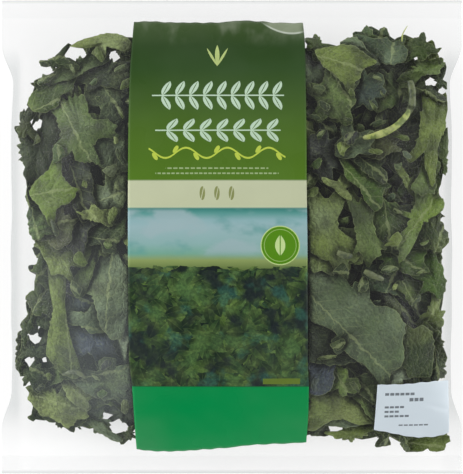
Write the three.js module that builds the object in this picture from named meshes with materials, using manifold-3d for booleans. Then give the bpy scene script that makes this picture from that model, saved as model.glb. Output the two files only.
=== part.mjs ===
// A sealed pillow bag of clear film, full of cut kale leaves, with a printed band across its front.
// The bag lies on its back: X runs across it, Y runs up the printed front, +Z points out of the
// printed front, and the origin is the middle of the flat spot that it rests on. Millimetres.
import * as THREE from "three";
import { mergeVertices } from "three/addons/utils/BufferGeometryUtils.js";
import Module from "manifold-3d";

// Driving dimensions of the bag
const BAG_LENGTH = 289;
const SEAL_WIDTH = 281; // across the flat end seals
const WAIST_WIDTH = 267; // across the filled middle
const BAG_HEIGHT = 57;
const SIDE_FOLD_HEIGHT = 22; // where the front film turns into the back film, over the table
const SEAL_HEIGHT = 15; // the end seals droop to this height
const SEAL_DEPTH = 11; // how far each end seal reaches along the bag
const FILM = 0.6; // wall thickness, thicker than real film so that it stays a solid
const RESTING_DROP = 27; // how low the back would hang if the table didn't flatten it
const SHOULDER_START = 93; // the sides leave the waist here
const SHOULDER_END = 118; // and reach the full width here

// Printed band and white panel, both ink on the front of the film
const BAND = { left: -60, right: 46, foot: -124, top: 129, skin: 0.5 };
const PANEL = { left: 86, right: 129.5, foot: -118, top: -87, skin: 0.5 };
const PRINT_GAP = 0.3; // a print stands this far off the film

// Leaves
const LEAF = 0.8; // thickness of a blade
const CLEARANCE = 0.35; // between pieces that only touch
const LEAF_GAP = 1.3; // from the outside of the film to the nearest blade
const CORE = { skin: 8.5, side: 17, end: 26 }; // how far the packed core stays inside the film
const HEAP_SPLITS = [-42, 30]; // hidden under the band, where one heap meets the next

const clamp = (value, low, high) => Math.min(high, Math.max(low, value));
const mix = (a, b, t) => a + (b - a) * t;
const radians = (degrees) => (degrees * Math.PI) / 180;

// 0 before start, 1 after end, and smooth between them.
function ease(start, end, value) {
  const t = clamp((value - start) / (end - start), 0, 1);
  return t * t * (3 - 2 * t);
}

// The same run of numbers from 0 to 1 each time, for a seed.
function seededDraw(seed) {
  let state = seed >>> 0;
  return () => {
    state = (Math.imul(state, 1664525) + 1013904223) >>> 0;
    return state / 4294967296;
  };
}

// The bag's own form: half its width, the height of its side folds, and how full it is.
const BODY_HALF = BAG_LENGTH / 2 - SEAL_DEPTH;
const FRONT_RISE = BAG_HEIGHT - SIDE_FOLD_HEIGHT;

function halfWidth(y) {
  const shoulder = ease(SHOULDER_START, SHOULDER_END, Math.abs(y));
  return mix(WAIST_WIDTH, SEAL_WIDTH, shoulder) / 2;
}

function foldHeight(y) {
  return mix(SIDE_FOLD_HEIGHT, SEAL_HEIGHT, ease(50, BODY_HALF, Math.abs(y)));
}

function fullness(across, along) {
  const acrossPart = 1 - Math.pow(Math.min(1, Math.abs(across)), 2.4);
  const alongPart = 1 - Math.pow(Math.min(1, Math.abs(along)), 2.6);
  return Math.sqrt(acrossPart) * Math.pow(alongPart, 0.6);
}

function frontHeight(x, y, inset = { skin: 0, side: 0, end: 0 }) {
  const full = fullness(x / (halfWidth(y) - inset.side), y / (BODY_HALF - inset.end));
  return foldHeight(y) + (FRONT_RISE - inset.skin) * full;
}

function backHeight(x, y, inset = { skin: 0, side: 0, end: 0 }) {
  const full = fullness(x / (halfWidth(y) - inset.side), y / (BODY_HALF - inset.end));
  return Math.max(inset.skin, foldHeight(y) - (RESTING_DROP - inset.skin) * full);
}

// Solids in and out of manifold-3d, which only joins and cuts them.
const wasm = await Module();
wasm.setup();

function toSolid(geometry) {
  const bare = geometry.index ? geometry.toNonIndexed() : geometry.clone();
  for (const name of Object.keys(bare.attributes)) {
    if (name !== "position") bare.deleteAttribute(name);
  }
  const merged = mergeVertices(bare, 1e-4);
  return new wasm.Manifold(
    new wasm.Mesh({
      numProp: 3,
      vertProperties: merged.attributes.position.array,
      triVerts: new Uint32Array(merged.index.array),
    }),
  );
}

function toGeometry(solid) {
  const mesh = solid.getMesh();
  const stride = mesh.numProp;
  const points = new Float32Array(mesh.triVerts.length * 3);
  mesh.triVerts.forEach((vertex, i) => {
    for (let k = 0; k < 3; k++) points[3 * i + k] = mesh.vertProperties[stride * vertex + k];
  });
  const geometry = new THREE.BufferGeometry();
  geometry.setAttribute("position", new THREE.BufferAttribute(points, 3));
  geometry.computeVertexNormals();
  return geometry;
}

const joined = (solids) => wasm.Manifold.union(solids);

// The largest of a solid's loose bodies, so that a scrap left by a cut is dropped.
function largestBody(solid) {
  return solid.decompose().reduce((a, b) => (b.volume() > a.volume() ? b : a));
}

function meshFromTriangles(triangles) {
  const geometry = new THREE.BufferGeometry();
  const points = new Float32Array(triangles.flat(2));
  geometry.setAttribute("position", new THREE.BufferAttribute(points, 3));
  return geometry;
}

function block(left, right, foot, top, low, high) {
  const box = new THREE.BoxGeometry(right - left, top - foot, high - low);
  box.translate((left + right) / 2, (foot + top) / 2, (low + high) / 2);
  return toSolid(box);
}

// The bag's pillow, inset from the film by so much at its skin, its side folds and its ends.
function pillow(inset, columns, rows, lift = 0) {
  const point = (i, j, height) => {
    const y = -Math.cos((Math.PI * j) / rows) * (BODY_HALF - inset.end);
    const x = -Math.cos((Math.PI * i) / columns) * (halfWidth(y) - inset.side);
    const onEdge = i === 0 || j === 0 || i === columns || j === rows;
    return [x, y, (onEdge ? foldHeight(y) : height(x, y, inset)) + lift];
  };
  const triangles = [];
  for (let i = 0; i < columns; i++) {
    for (let j = 0; j < rows; j++) {
      const front = [
        [i, j],
        [i + 1, j],
        [i + 1, j + 1],
        [i, j + 1],
      ].map(([a, b]) => point(a, b, frontHeight));
      const back = [
        [i, j],
        [i, j + 1],
        [i + 1, j + 1],
        [i + 1, j],
      ].map(([a, b]) => point(a, b, backHeight));
      triangles.push([front[0], front[1], front[2]], [front[0], front[2], front[3]]);
      triangles.push([back[0], back[1], back[2]], [back[0], back[2], back[3]]);
    }
  }
  return toSolid(meshFromTriangles(triangles));
}

// An end seal: both films pressed together, with the crimping jaw's ridges across it.
function endSeal(end) {
  const ridges = 7;
  const start = BODY_HALF - 2;
  const pitch = (BAG_LENGTH / 2 - start) / (2 * ridges);
  const crimp = 0.35;
  const line = [];
  for (let k = 0; k <= 2 * ridges; k++) {
    line.push([end * (start + k * pitch), SEAL_HEIGHT + (k % 2 ? crimp : -crimp)]);
  }
  const shape = new THREE.Shape([
    ...line.map(([y, z]) => new THREE.Vector2(y, z + FILM)),
    ...line.reverse().map(([y, z]) => new THREE.Vector2(y, z - FILM)),
  ]);
  const strip = new THREE.ExtrudeGeometry(shape, { depth: SEAL_WIDTH, bevelEnabled: false });
  strip.translate(0, 0, -SEAL_WIDTH / 2);
  const yzx = new THREE.Matrix4().makeBasis(
    new THREE.Vector3(0, 1, 0),
    new THREE.Vector3(0, 0, 1),
    new THREE.Vector3(1, 0, 0),
  );
  strip.applyMatrix4(yzx);
  return toSolid(strip);
}

// The film's back seam is left open along part of its lap, so that the bag isn't a sealed hollow.
function backSeamGap() {
  const seamX = -8;
  return block(seamX - 0.3, seamX + 0.3, -45, 45, -1, 3 * FILM);
}

const FILM_GRID = [18, 16];
const OUTSIDE = { skin: 0, side: 0, end: 0 };
const INSIDE = { skin: FILM, side: FILM, end: FILM };
const LEAF_ROOM = { skin: FILM + 0.3, side: FILM + 0.5, end: FILM + 0.5 };

function filmBag() {
  const walls = joined([pillow(OUTSIDE, ...FILM_GRID), endSeal(1), endSeal(-1)]);
  return walls.subtract(pillow(INSIDE, ...FILM_GRID)).subtract(backSeamGap());
}

// A print on the front: the slice between two copies of the film's face, one over the other.
function print({ left, right, foot, top, skin }) {
  const over = pillow(OUTSIDE, ...FILM_GRID, PRINT_GAP + skin);
  const under = pillow(OUTSIDE, ...FILM_GRID, PRINT_GAP);
  const column = block(left, right, foot, top, SEAL_HEIGHT + 3, BAG_HEIGHT + 5);
  return largestBody(over.intersect(column).subtract(under));
}

// A cut leaf piece's outline, as points round its middle: lobed, with a ragged edge.
function leafOutline({ length, width, turn, lobes, ragged }, points, draw, grow = 0) {
  const outline = [];
  for (let k = 0; k < points; k++) {
    const angle = (2 * Math.PI * k) / points;
    const edge = 1 + 0.14 * Math.cos(lobes * angle + 0.9) + ragged * (draw() - 0.5);
    const a = (length / 2) * edge * Math.cos(angle);
    const b = (width / 2) * edge * Math.sin(angle);
    const reach = Math.hypot(a, b);
    const scale = (reach + grow) / reach;
    const c = Math.cos(radians(turn));
    const s = Math.sin(radians(turn));
    outline.push([(a * c - b * s) * scale, (a * s + b * c) * scale, Math.cos(angle)]);
  }
  return outline;
}

// Keeps a point of a leaf inside the film's outline, short of it by a share of a leaf's raggedness.
function insideBag(x, y, short = 0) {
  const endReach = BODY_HALF - 6 - 15 * short;
  const yIn = clamp(y, -endReach, endReach);
  const reach = halfWidth(yIn) - 3.2 - 7 * short;
  return [clamp(x, -reach, reach), yIn];
}

// A closed solid between a sheet's face and the same face lowered, split into like triangles.
function sheetSolid(rings, lowered) {
  const down = ([x, y, z]) => [x, y, z - lowered([x, y, z])];
  const triangles = [];
  const face = (a, b, c) => {
    triangles.push([a, b, c], [down(a), down(c), down(b)]);
  };
  const [middle, ...loops] = rings;
  const count = loops[0].length;
  const rim = loops[loops.length - 1];
  for (let k = 0; k < count; k++) {
    const n = (k + 1) % count;
    face(middle, loops[0][k], loops[0][n]);
    for (let r = 0; r + 1 < loops.length; r++) {
      face(loops[r][k], loops[r + 1][k], loops[r + 1][n]);
      face(loops[r][k], loops[r + 1][n], loops[r][n]);
    }
    triangles.push([rim[k], down(rim[k]), down(rim[n])], [rim[k], down(rim[n]), rim[n]]);
  }
  return toSolid(meshFromTriangles(triangles));
}

// The height of a blade's upper face at a depth under the front film, or over the back film.
function sheetHeight(x, y, depth, front) {
  const low = backHeight(x, y) + LEAF_GAP + LEAF;
  const high = frontHeight(x, y) - LEAF_GAP;
  const wanted = front ? frontHeight(x, y) - depth : backHeight(x, y) + depth + LEAF;
  return high > low ? clamp(wanted, low, high) : (high + low) / 2;
}

// A blade of a heap: its root end sinks into the core and its ragged tip stands out of it.
function heapBlade(leaf) {
  const draw = seededDraw(leaf.seed);
  const points = 9;
  const outline = leafOutline(leaf, points, draw);
  const depthAt = (along) => mix(leaf.root, leaf.tip, ease(-1, 0.7, along));
  const rim = outline.map(([dx, dy, along], k) => {
    const [x, y] = insideBag(leaf.x + dx, leaf.y + dy, draw());
    const wave = leaf.wave * (k % 2 ? 1 : -1);
    return [x, y, sheetHeight(x, y, depthAt(along) + wave, leaf.front)];
  });
  const [mx, my] = insideBag(leaf.x, leaf.y);
  const middle = [mx, my, sheetHeight(mx, my, depthAt(0) + 0.5, leaf.front)];
  return sheetSolid([middle, rim], () => LEAF);
}

// The blades of one face of the bag, on a staggered grid with seeded changes.
function facingBlades({ front, step, seed }) {
  const draw = seededDraw(seed);
  const blades = [];
  const reachY = BODY_HALF - 18;
  const rows = Math.round((2 * reachY) / step);
  for (let j = 0; j <= rows; j++) {
    const y = -reachY + (2 * reachY * j) / rows;
    const reachX = halfWidth(y) - 15;
    const columns = Math.round((2 * reachX) / step);
    for (let i = 0; i <= columns; i++) {
      const shift = j % 2 ? 0.25 : -0.25;
      blades.push({
        x: clamp(-reachX + ((i + shift) * 2 * reachX) / columns, -reachX, reachX) + 5 * (draw() - 0.5),
        y: y + 8 * (draw() - 0.5),
        length: step * mix(1.2, 1.65, draw()),
        width: step * mix(0.85, 1.15, draw()),
        turn: 360 * draw(),
        lobes: 3 + Math.floor(3 * draw()),
        ragged: 0.34,
        root: 10.5,
        tip: mix(1.6, 5, draw()),
        wave: mix(0.5, 1.6, draw()),
        seed: Math.floor(1e6 * draw()),
        front,
      });
    }
  }
  return blades;
}

// Leaf pieces that show on the faces of the heap, each lying loose on what is under it.
const LOOSE_LEAVES = [
  { name: "leaf_pale_upper_right", x: 68, y: 102, length: 38, width: 21, turn: -18, depth: 2.2 },
  { name: "leaf_crown_upper_right", x: 99, y: 113, length: 29, width: 24, turn: 80, depth: 2.6 },
  { name: "leaf_long_right_edge", x: 118, y: 66, length: 52, width: 19, turn: 93, depth: 2.4 },
  { name: "leaf_green_right", x: 79, y: 36, length: 32, width: 16, turn: -45, depth: 2.4 },
  { name: "leaf_folded_right", x: 73, y: 10, length: 42, width: 10, turn: -60, depth: 1.8 },
  { name: "leaf_pale_beside_band", x: 54, y: 3, length: 30, width: 18, turn: -78, depth: 2.6 },
  { name: "leaf_bright_right_edge", x: 113, y: 13, length: 38, width: 15, turn: 50, depth: 1.8 },
  { name: "leaf_large_lower_right", x: 73, y: -52, length: 72, width: 36, turn: -48, depth: 2.2 },
  { name: "leaf_dark_right_edge", x: 114, y: -63, length: 33, width: 21, turn: -80, depth: 2.4 },
  { name: "leaf_pale_foot_right", x: 66, y: -104, length: 38, width: 20, turn: -10, depth: 2.4 },
  { name: "leaf_pale_top_left", x: -80, y: 115, length: 36, width: 11, turn: 14, depth: 2.2 },
  { name: "leaf_olive_upper_left", x: -110, y: 85, length: 27, width: 18, turn: 22, depth: 2.4 },
  { name: "leaf_broad_upper_left", x: -83, y: 62, length: 46, width: 27, turn: -58, depth: 2.0 },
  { name: "leaf_bright_left_edge", x: -108, y: 27, length: 33, width: 25, turn: 10, depth: 2.2 },
  { name: "leaf_grey_beside_band", x: -73, y: -34, length: 36, width: 20, turn: 80, depth: 2.4 },
  { name: "leaf_strap_left", x: -101, y: -50, length: 54, width: 12, turn: 95, depth: 2.0 },
  { name: "leaf_pale_foot_left", x: -104, y: -102, length: 40, width: 20, turn: -8, depth: 2.4 },
  { name: "leaf_back_upper", x: -52, y: 78, length: 44, width: 26, turn: 30, depth: 2.4, back: true },
  { name: "leaf_back_upper_edge", x: 80, y: 62, length: 48, width: 27, turn: -40, depth: 2.2, back: true },
  { name: "leaf_back_side", x: -98, y: -14, length: 44, width: 22, turn: 75, depth: 2.4, back: true },
  { name: "leaf_back_middle", x: 26, y: -22, length: 52, width: 30, turn: 15, depth: 2.2, back: true },
  { name: "leaf_back_foot", x: -34, y: -88, length: 46, width: 24, turn: -20, depth: 2.4, back: true },
  { name: "leaf_back_foot_edge", x: 82, y: -78, length: 42, width: 23, turn: 55, depth: 2.4, back: true },
];

// A loose leaf piece, or the room above it that the heap under it has to leave free.
function looseLeaf(leaf, index, room = false) {
  const draw = seededDraw(7001 + 13 * index);
  const points = 14;
  const shape = { ...leaf, lobes: 3 + (index % 3), ragged: 0.22 };
  const outline = leafOutline(shape, points, draw, room ? 2 * CLEARANCE : 0);
  const front = !leaf.back;
  const outward = front ? 1 : -1;
  const ring = (share, wave) =>
    outline.map(([dx, dy], k) => {
      const [x, y] = insideBag(leaf.x + share * dx, leaf.y + share * dy);
      const depth = leaf.depth + 0.7 + wave * Math.cos((3 + (index % 2)) * (k / points) * 2 * Math.PI);
      return [x, y, sheetHeight(x, y, depth, front)];
    });
  const [mx, my] = insideBag(leaf.x, leaf.y);
  const middle = [mx, my, sheetHeight(mx, my, leaf.depth + 1.2, front)];
  const rings = [middle, ring(0.55, 0.25), ring(1, 1.0)];
  if (!room) return sheetSolid(rings, () => LEAF);
  const shift = ([x, y, z]) => [x, y, front ? z + BAG_HEIGHT : z + CLEARANCE];
  const lifted = [shift(rings[0]), rings[1].map(shift), rings[2].map(shift)];
  const depth = BAG_HEIGHT + LEAF + CLEARANCE;
  return sheetSolid(lifted, () => (outward > 0 ? depth : depth + CLEARANCE));
}

// Cut stems, each a bent round rod just under the film.
const STEMS = [
  { name: "stem_arc", path: [[79, 59], [93, 64], [103, 70], [107, 80]], thick: 4.0, depth: 4.2 },
  { name: "stem_chip_upper", path: [[62, -9], [67, -11], [71, -11]], thick: 3.8, depth: 4.0 },
  { name: "stem_chip_lower", path: [[78, -20], [84, -23], [90, -25]], thick: 4.0, depth: 4.0 },
  { name: "stem_left", path: [[-86, -84], [-93, -80], [-101, -82]], thick: 3.2, depth: 3.8 },
];

// A stem, or the room round it and over it that the heap has to leave free.
function stem({ path, thick, depth }, room = false) {
  const points = path.map(([x, y]) => new THREE.Vector3(x, y, frontHeight(x, y) - depth));
  if (room) {
    const [first, second] = points;
    const [before, last] = points.slice(-2);
    points.unshift(first.clone().add(first.clone().sub(second).setLength(CLEARANCE)));
    points.push(last.clone().add(last.clone().sub(before).setLength(CLEARANCE)));
  }
  const round = new THREE.Shape().absarc(0, 0, thick / 2 + (room ? CLEARANCE : 0), 0, 2 * Math.PI);
  const extrudePath = new THREE.CatmullRomCurve3(points);
  const steps = room ? 10 : 7;
  const rod = new THREE.ExtrudeGeometry(round, { extrudePath, steps, curveSegments: 4 });
  const lifts = room ? [0, 2, 4] : [0];
  return joined(lifts.map((lift) => toSolid(rod.clone().translate(0, 0, lift))));
}

// One heap of cut leaves between two planes: blades fused to a packed core.
function heap(left, right, blades, rooms) {
  const own = blades.filter(({ x }) => x >= left && x < right).map(heapBlade);
  const slab = block(left + CLEARANCE / 2, right - CLEARANCE / 2, -200, 200, -10, 100);
  const whole = joined([pillow(CORE, 10, 10), ...own]).intersect(pillow(LEAF_ROOM, ...FILM_GRID));
  return largestBody(whole.intersect(slab).subtract(joined(rooms)));
}

const LOOKS = {
  film: { color: 0xe8eef0, roughness: 0.12, metalness: 0, transparent: true, opacity: 0.3 },
  band: { color: 0x3f6b2a, roughness: 0.3, metalness: 0 },
  panel: { color: 0xdfe6ea, roughness: 0.4, metalness: 0 },
  heap: { color: 0x44573a, roughness: 0.6, metalness: 0 },
  paleLeaf: { color: 0x74885a, roughness: 0.55, metalness: 0 },
  darkLeaf: { color: 0x4f6348, roughness: 0.55, metalness: 0 },
  stem: { color: 0x9aa56b, roughness: 0.5, metalness: 0 },
};
const DARK_LEAVES = /crown|green|dark|grey|back/;

const bag = new THREE.Group();

function add(name, solid, look) {
  const mesh = new THREE.Mesh(toGeometry(solid), new THREE.MeshStandardMaterial(LOOKS[look]));
  mesh.name = name;
  bag.add(mesh);
}

const looseRooms = LOOSE_LEAVES.map((leaf, index) => looseLeaf(leaf, index, true));
const stemRooms = STEMS.map((one) => stem(one, true));
const rooms = [...looseRooms, ...stemRooms];
const blades = [
  ...facingBlades({ front: true, step: 36, seed: 11 }),
  ...facingBlades({ front: false, step: 50, seed: 29 }),
];
const heapNames = ["kale_heap_left", "kale_heap_middle", "kale_heap_right"];
const heapEdges = [-200, ...HEAP_SPLITS, 200];

add("film_bag", filmBag(), "film");
add("printed_band", print(BAND), "band");
add("printed_panel", print(PANEL), "panel");
heapNames.forEach((name, k) => {
  add(name, heap(heapEdges[k], heapEdges[k + 1], blades, rooms), "heap");
});
LOOSE_LEAVES.forEach((leaf, index) => {
  add(leaf.name, largestBody(looseLeaf(leaf, index).intersect(pillow(LEAF_ROOM, ...FILM_GRID))), DARK_LEAVES.test(leaf.name) ? "darkLeaf" : "paleLeaf");
});
STEMS.forEach((one) => add(one.name, stem(one), "stem"));

export default bag;
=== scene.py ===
"""Finished looks of a sealed bag of cut kale leaves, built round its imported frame.

Metres, +Z up. X runs across the bag, Y runs up its printed front, and Z points out of the front.
"""
import logging
import math
from dataclasses import dataclass, field
from enum import Enum
from typing import Callable

import bpy
import numpy as np
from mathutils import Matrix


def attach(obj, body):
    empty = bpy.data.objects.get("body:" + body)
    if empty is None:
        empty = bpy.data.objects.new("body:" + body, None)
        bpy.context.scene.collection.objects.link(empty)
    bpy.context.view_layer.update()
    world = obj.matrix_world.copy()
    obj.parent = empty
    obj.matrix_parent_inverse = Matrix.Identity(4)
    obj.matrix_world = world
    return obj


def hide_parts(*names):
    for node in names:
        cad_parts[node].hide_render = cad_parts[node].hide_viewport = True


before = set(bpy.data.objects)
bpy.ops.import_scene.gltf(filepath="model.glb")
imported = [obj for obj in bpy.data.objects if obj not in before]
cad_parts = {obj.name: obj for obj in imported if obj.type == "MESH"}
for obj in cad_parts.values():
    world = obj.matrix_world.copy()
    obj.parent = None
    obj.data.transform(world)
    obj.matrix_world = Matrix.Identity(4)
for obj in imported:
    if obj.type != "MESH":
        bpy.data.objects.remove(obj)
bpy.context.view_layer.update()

LOG = logging.getLogger("kale_bag")
MM = 0.001
BODY = "root"
EVEN_STEPS = (0.7548776662, 0.5698402910)


# Small tools


def linear(red: int, green: int, blue: int) -> tuple[float, float, float, float]:
    """Turn a colour in 0-255 display numbers into linear light.

    Args:
        red: Display red.
        green: Display green.
        blue: Display blue.

    Returns:
        Red, green, blue and an alpha of 1.
    """
    parts = [(c / 255 / 12.92 if c <= 10 else ((c / 255 + 0.055) / 1.055) ** 2.4) for c in (red, green, blue)]
    return (*parts, 1.0)


def ease(start: float, end: float, value: np.ndarray) -> np.ndarray:
    """Return 0 before start, 1 after end, and a smooth rise between."""
    share = np.clip((value - start) / (end - start), 0.0, 1.0)
    return share * share * (3 - 2 * share)


def ripples(x: np.ndarray, y: np.ndarray, seed: int, wave: float, count: int = 6) -> np.ndarray:
    """Add up seeded waves over a plane.

    Args:
        x: First coordinate.
        y: Second coordinate.
        seed: Seed of the draw.
        wave: Typical wavelength.
        count: Number of waves.

    Returns:
        Heights, mostly between -1 and 1.
    """
    draw = np.random.default_rng(seed)
    total = np.zeros_like(x, dtype=float)
    for _ in range(count):
        heading = draw.uniform(0, 2 * math.pi)
        length = wave * draw.uniform(0.7, 1.5)
        phase = draw.uniform(0, 2 * math.pi)
        total += np.sin(2 * math.pi * (x * math.cos(heading) + y * math.sin(heading)) / length + phase)
    return total / math.sqrt(count)


def deselect_all() -> None:
    """Leave nothing selected, so that an operator acts on the new piece alone."""
    bpy.ops.object.select_all(action="DESELECT")


def grid_piece(name: str, columns: int, rows: int, place: Callable) -> bpy.types.Object:
    """Add a flat grid and lay its points out on a surface.

    Args:
        name: Name of the piece.
        columns: Cells across.
        rows: Cells along.
        place: Takes u and v, both -1 to 1, and returns x, y and z.

    Returns:
        The new piece.
    """
    deselect_all()
    bpy.ops.mesh.primitive_grid_add(x_subdivisions=columns, y_subdivisions=rows, size=2.0)
    piece = bpy.context.object
    piece.name = piece.data.name = name
    points = np.empty(3 * len(piece.data.vertices))
    piece.data.vertices.foreach_get("co", points)
    points = points.reshape(-1, 3)
    points = np.stack(place(points[:, 0], points[:, 1]), axis=1)
    piece.data.vertices.foreach_set("co", points.ravel())
    piece.data.update()
    return piece


def close_seams(piece: bpy.types.Object, gap: float = 0.00002) -> None:
    """Merge the points that meet along a piece's seams, and point its faces outwards.

    Args:
        piece: The piece.
        gap: How close two points are to be one.
    """
    deselect_all()
    piece.select_set(True)
    bpy.context.view_layer.objects.active = piece
    bpy.ops.object.mode_set(mode="EDIT")
    bpy.ops.mesh.select_all(action="SELECT")
    bpy.ops.mesh.remove_doubles(threshold=gap)
    bpy.ops.mesh.dissolve_degenerate(threshold=0.000001)
    bpy.ops.mesh.normals_make_consistent(inside=False)
    bpy.ops.object.mode_set(mode="OBJECT")


def thicken(piece: bpy.types.Object, thickness: float) -> None:
    """Give an open sheet a wall behind its face.

    Args:
        piece: The sheet.
        thickness: Thickness of the wall.
    """
    deselect_all()
    piece.select_set(True)
    bpy.context.view_layer.objects.active = piece
    wall = piece.modifiers.new("wall", "SOLIDIFY")
    wall.thickness = thickness
    wall.offset = -1.0
    bpy.ops.object.modifier_apply(modifier="wall")


def dress(piece: bpy.types.Object, material: bpy.types.Material, nodes: list[str]) -> None:
    """Give a piece its finish and its place in the frame.

    Args:
        piece: The piece.
        material: Its material.
        nodes: Frame nodes that it stands for.
    """
    piece.data.materials.clear()
    piece.data.materials.append(material)
    for polygon in piece.data.polygons:
        polygon.use_smooth = True
    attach(piece, BODY)
    if nodes:
        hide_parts(*nodes)
    LOG.info("%s: %d points, stands for %s", piece.name, len(piece.data.vertices), ", ".join(nodes) or "nothing")


# Node trees


class Signal:
    """A number in a node tree, with which sums and comparisons can be written."""

    def __init__(self, tree: "Tree", socket: bpy.types.NodeSocket) -> None:
        """Hold one output socket of a tree."""
        self.tree = tree
        self.socket = socket

    def _math(self, operation: str, *others: "Signal | float", first: "Signal | float | None" = None) -> "Signal":
        """Join this number with others in one Math node."""
        node = self.tree.add("ShaderNodeMath", operation=operation)
        values = [self if first is None else first, *others]
        for k, value in enumerate(values):
            self.tree.feed(value, node.inputs[k])
        return Signal(self.tree, node.outputs[0])

    def __add__(self, other: "Signal | float") -> "Signal":
        """Return this number plus another."""
        return self._math("ADD", other)

    def __sub__(self, other: "Signal | float") -> "Signal":
        """Return this number less another."""
        return self._math("SUBTRACT", other)

    def __rsub__(self, other: float) -> "Signal":
        """Return a plain number less this one."""
        return self._math("SUBTRACT", self, first=other)

    def __mul__(self, other: "Signal | float") -> "Signal":
        """Return this number times another."""
        return self._math("MULTIPLY", other)

    def __truediv__(self, other: "Signal | float") -> "Signal":
        """Return this number over another."""
        return self._math("DIVIDE", other)

    __radd__ = __add__
    __rmul__ = __mul__

    def cosine(self) -> "Signal":
        """Return the cosine of this number."""
        return self._math("COSINE")

    def sine(self) -> "Signal":
        """Return the sine of this number."""
        return self._math("SINE")

    def size(self) -> "Signal":
        """Return this number without its sign."""
        return self._math("ABSOLUTE")

    def whole(self) -> "Signal":
        """Return the whole number at or below this one."""
        return self._math("FLOOR")

    def rest(self) -> "Signal":
        """Return what is left above the whole number."""
        return self._math("FRACT")

    def power(self, other: float) -> "Signal":
        """Return this number to a power."""
        return self._math("POWER", other)

    def below(self, other: "Signal | float") -> "Signal":
        """Return 1 where this number is below the other."""
        return self._math("LESS_THAN", other)

    def above(self, other: "Signal | float") -> "Signal":
        """Return 1 where this number is above the other."""
        return self._math("GREATER_THAN", other)

    def most(self, other: "Signal | float") -> "Signal":
        """Return the larger of the two."""
        return self._math("MAXIMUM", other)

    def least(self, other: "Signal | float") -> "Signal":
        """Return the smaller of the two."""
        return self._math("MINIMUM", other)

    def span(self, start: float, end: float, low: float = 0.0, high: float = 1.0) -> "Signal":
        """Return low up to start, high from end, and a smooth step between."""
        node = self.tree.add("ShaderNodeMapRange", interpolation_type="SMOOTHSTEP")
        for k, value in enumerate((self, start, end, low, high)):
            self.tree.feed(value, node.inputs[k])
        return Signal(self.tree, node.outputs[0])


class Tree:
    """One node tree, with short ways to add and join its nodes."""

    def __init__(self, nodes: bpy.types.NodeTree) -> None:
        """Hold the tree."""
        self.nodes = nodes

    @classmethod
    def of_material(cls, name: str) -> tuple["Tree", bpy.types.Material, bpy.types.Node]:
        """Start a material.

        Args:
            name: Name of the material.

        Returns:
            Its tree, the material, and its output node.
        """
        material = bpy.data.materials.new(name)
        material.use_nodes = True
        material.node_tree.nodes.clear()
        tree = cls(material.node_tree)
        return tree, material, tree.add("ShaderNodeOutputMaterial")

    def add(self, kind: str, **settings: object) -> bpy.types.Node:
        """Add a node and set its properties."""
        node = self.nodes.nodes.new(kind)
        for name, value in settings.items():
            setattr(node, name, value)
        return node

    def feed(self, value: object, socket: bpy.types.NodeSocket) -> None:
        """Join a signal or a socket to an input, or set the input to a plain value."""
        if isinstance(value, Signal):
            self.nodes.links.new(value.socket, socket)
        elif isinstance(value, bpy.types.NodeSocket):
            self.nodes.links.new(value, socket)
        else:
            socket.default_value = value

    def place(self) -> bpy.types.NodeSocket:
        """Return the place on the piece, in metres."""
        return self.add("ShaderNodeTexCoord").outputs["Object"]

    def split(self, vector: bpy.types.NodeSocket) -> tuple[Signal, Signal, Signal]:
        """Return the three parts of a vector."""
        node = self.add("ShaderNodeSeparateXYZ")
        self.feed(vector, node.inputs[0])
        return tuple(Signal(self, out) for out in node.outputs)

    def vector(self, x: Signal | float, y: Signal | float, z: Signal | float = 0.0) -> bpy.types.NodeSocket:
        """Return a vector of three parts."""
        node = self.add("ShaderNodeCombineXYZ")
        for k, value in enumerate((x, y, z)):
            self.feed(value, node.inputs[k])
        return node.outputs[0]

    def noise(self, place: bpy.types.NodeSocket, scale: float, detail: float = 2.0) -> Signal:
        """Return soft noise of a scale, from 0 to 1."""
        node = self.add("ShaderNodeTexNoise")
        self.feed(place, node.inputs["Vector"])
        node.inputs["Scale"].default_value = scale
        node.inputs["Detail"].default_value = detail
        return Signal(self, node.outputs[0])

    def blend(self, share: Signal | float, first: object, second: object) -> bpy.types.NodeSocket:
        """Mix two colours."""
        node = self.add("ShaderNodeMix", data_type="RGBA")
        self.feed(share, node.inputs[0])
        self.feed(first, node.inputs[6])
        self.feed(second, node.inputs[7])
        return node.outputs[2]

    def ramp(self, share: Signal, stops: list[tuple[float, tuple]]) -> bpy.types.NodeSocket:
        """Return a colour from a row of stops."""
        node = self.add("ShaderNodeValToRGB")
        elements = node.color_ramp.elements
        while len(elements) < len(stops):
            elements.new(1.0)
        for element, (place, colour) in zip(elements, stops):
            element.position = place
            element.color = colour
        self.feed(share, node.inputs[0])
        return node.outputs[0]

    def bump(self, height: Signal, strength: float, distance: float) -> bpy.types.NodeSocket:
        """Return a normal that follows a height."""
        node = self.add("ShaderNodeBump")
        node.inputs["Strength"].default_value = strength
        node.inputs["Distance"].default_value = distance
        self.feed(height, node.inputs["Height"])
        return node.outputs["Normal"]

    def group(self, tree: bpy.types.NodeTree, **inputs: object) -> bpy.types.Node:
        """Place a node group and feed its inputs."""
        node = self.add("ShaderNodeGroup", node_tree=tree)
        for name, value in inputs.items():
            self.feed(value, node.inputs[name])
        return node


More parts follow.
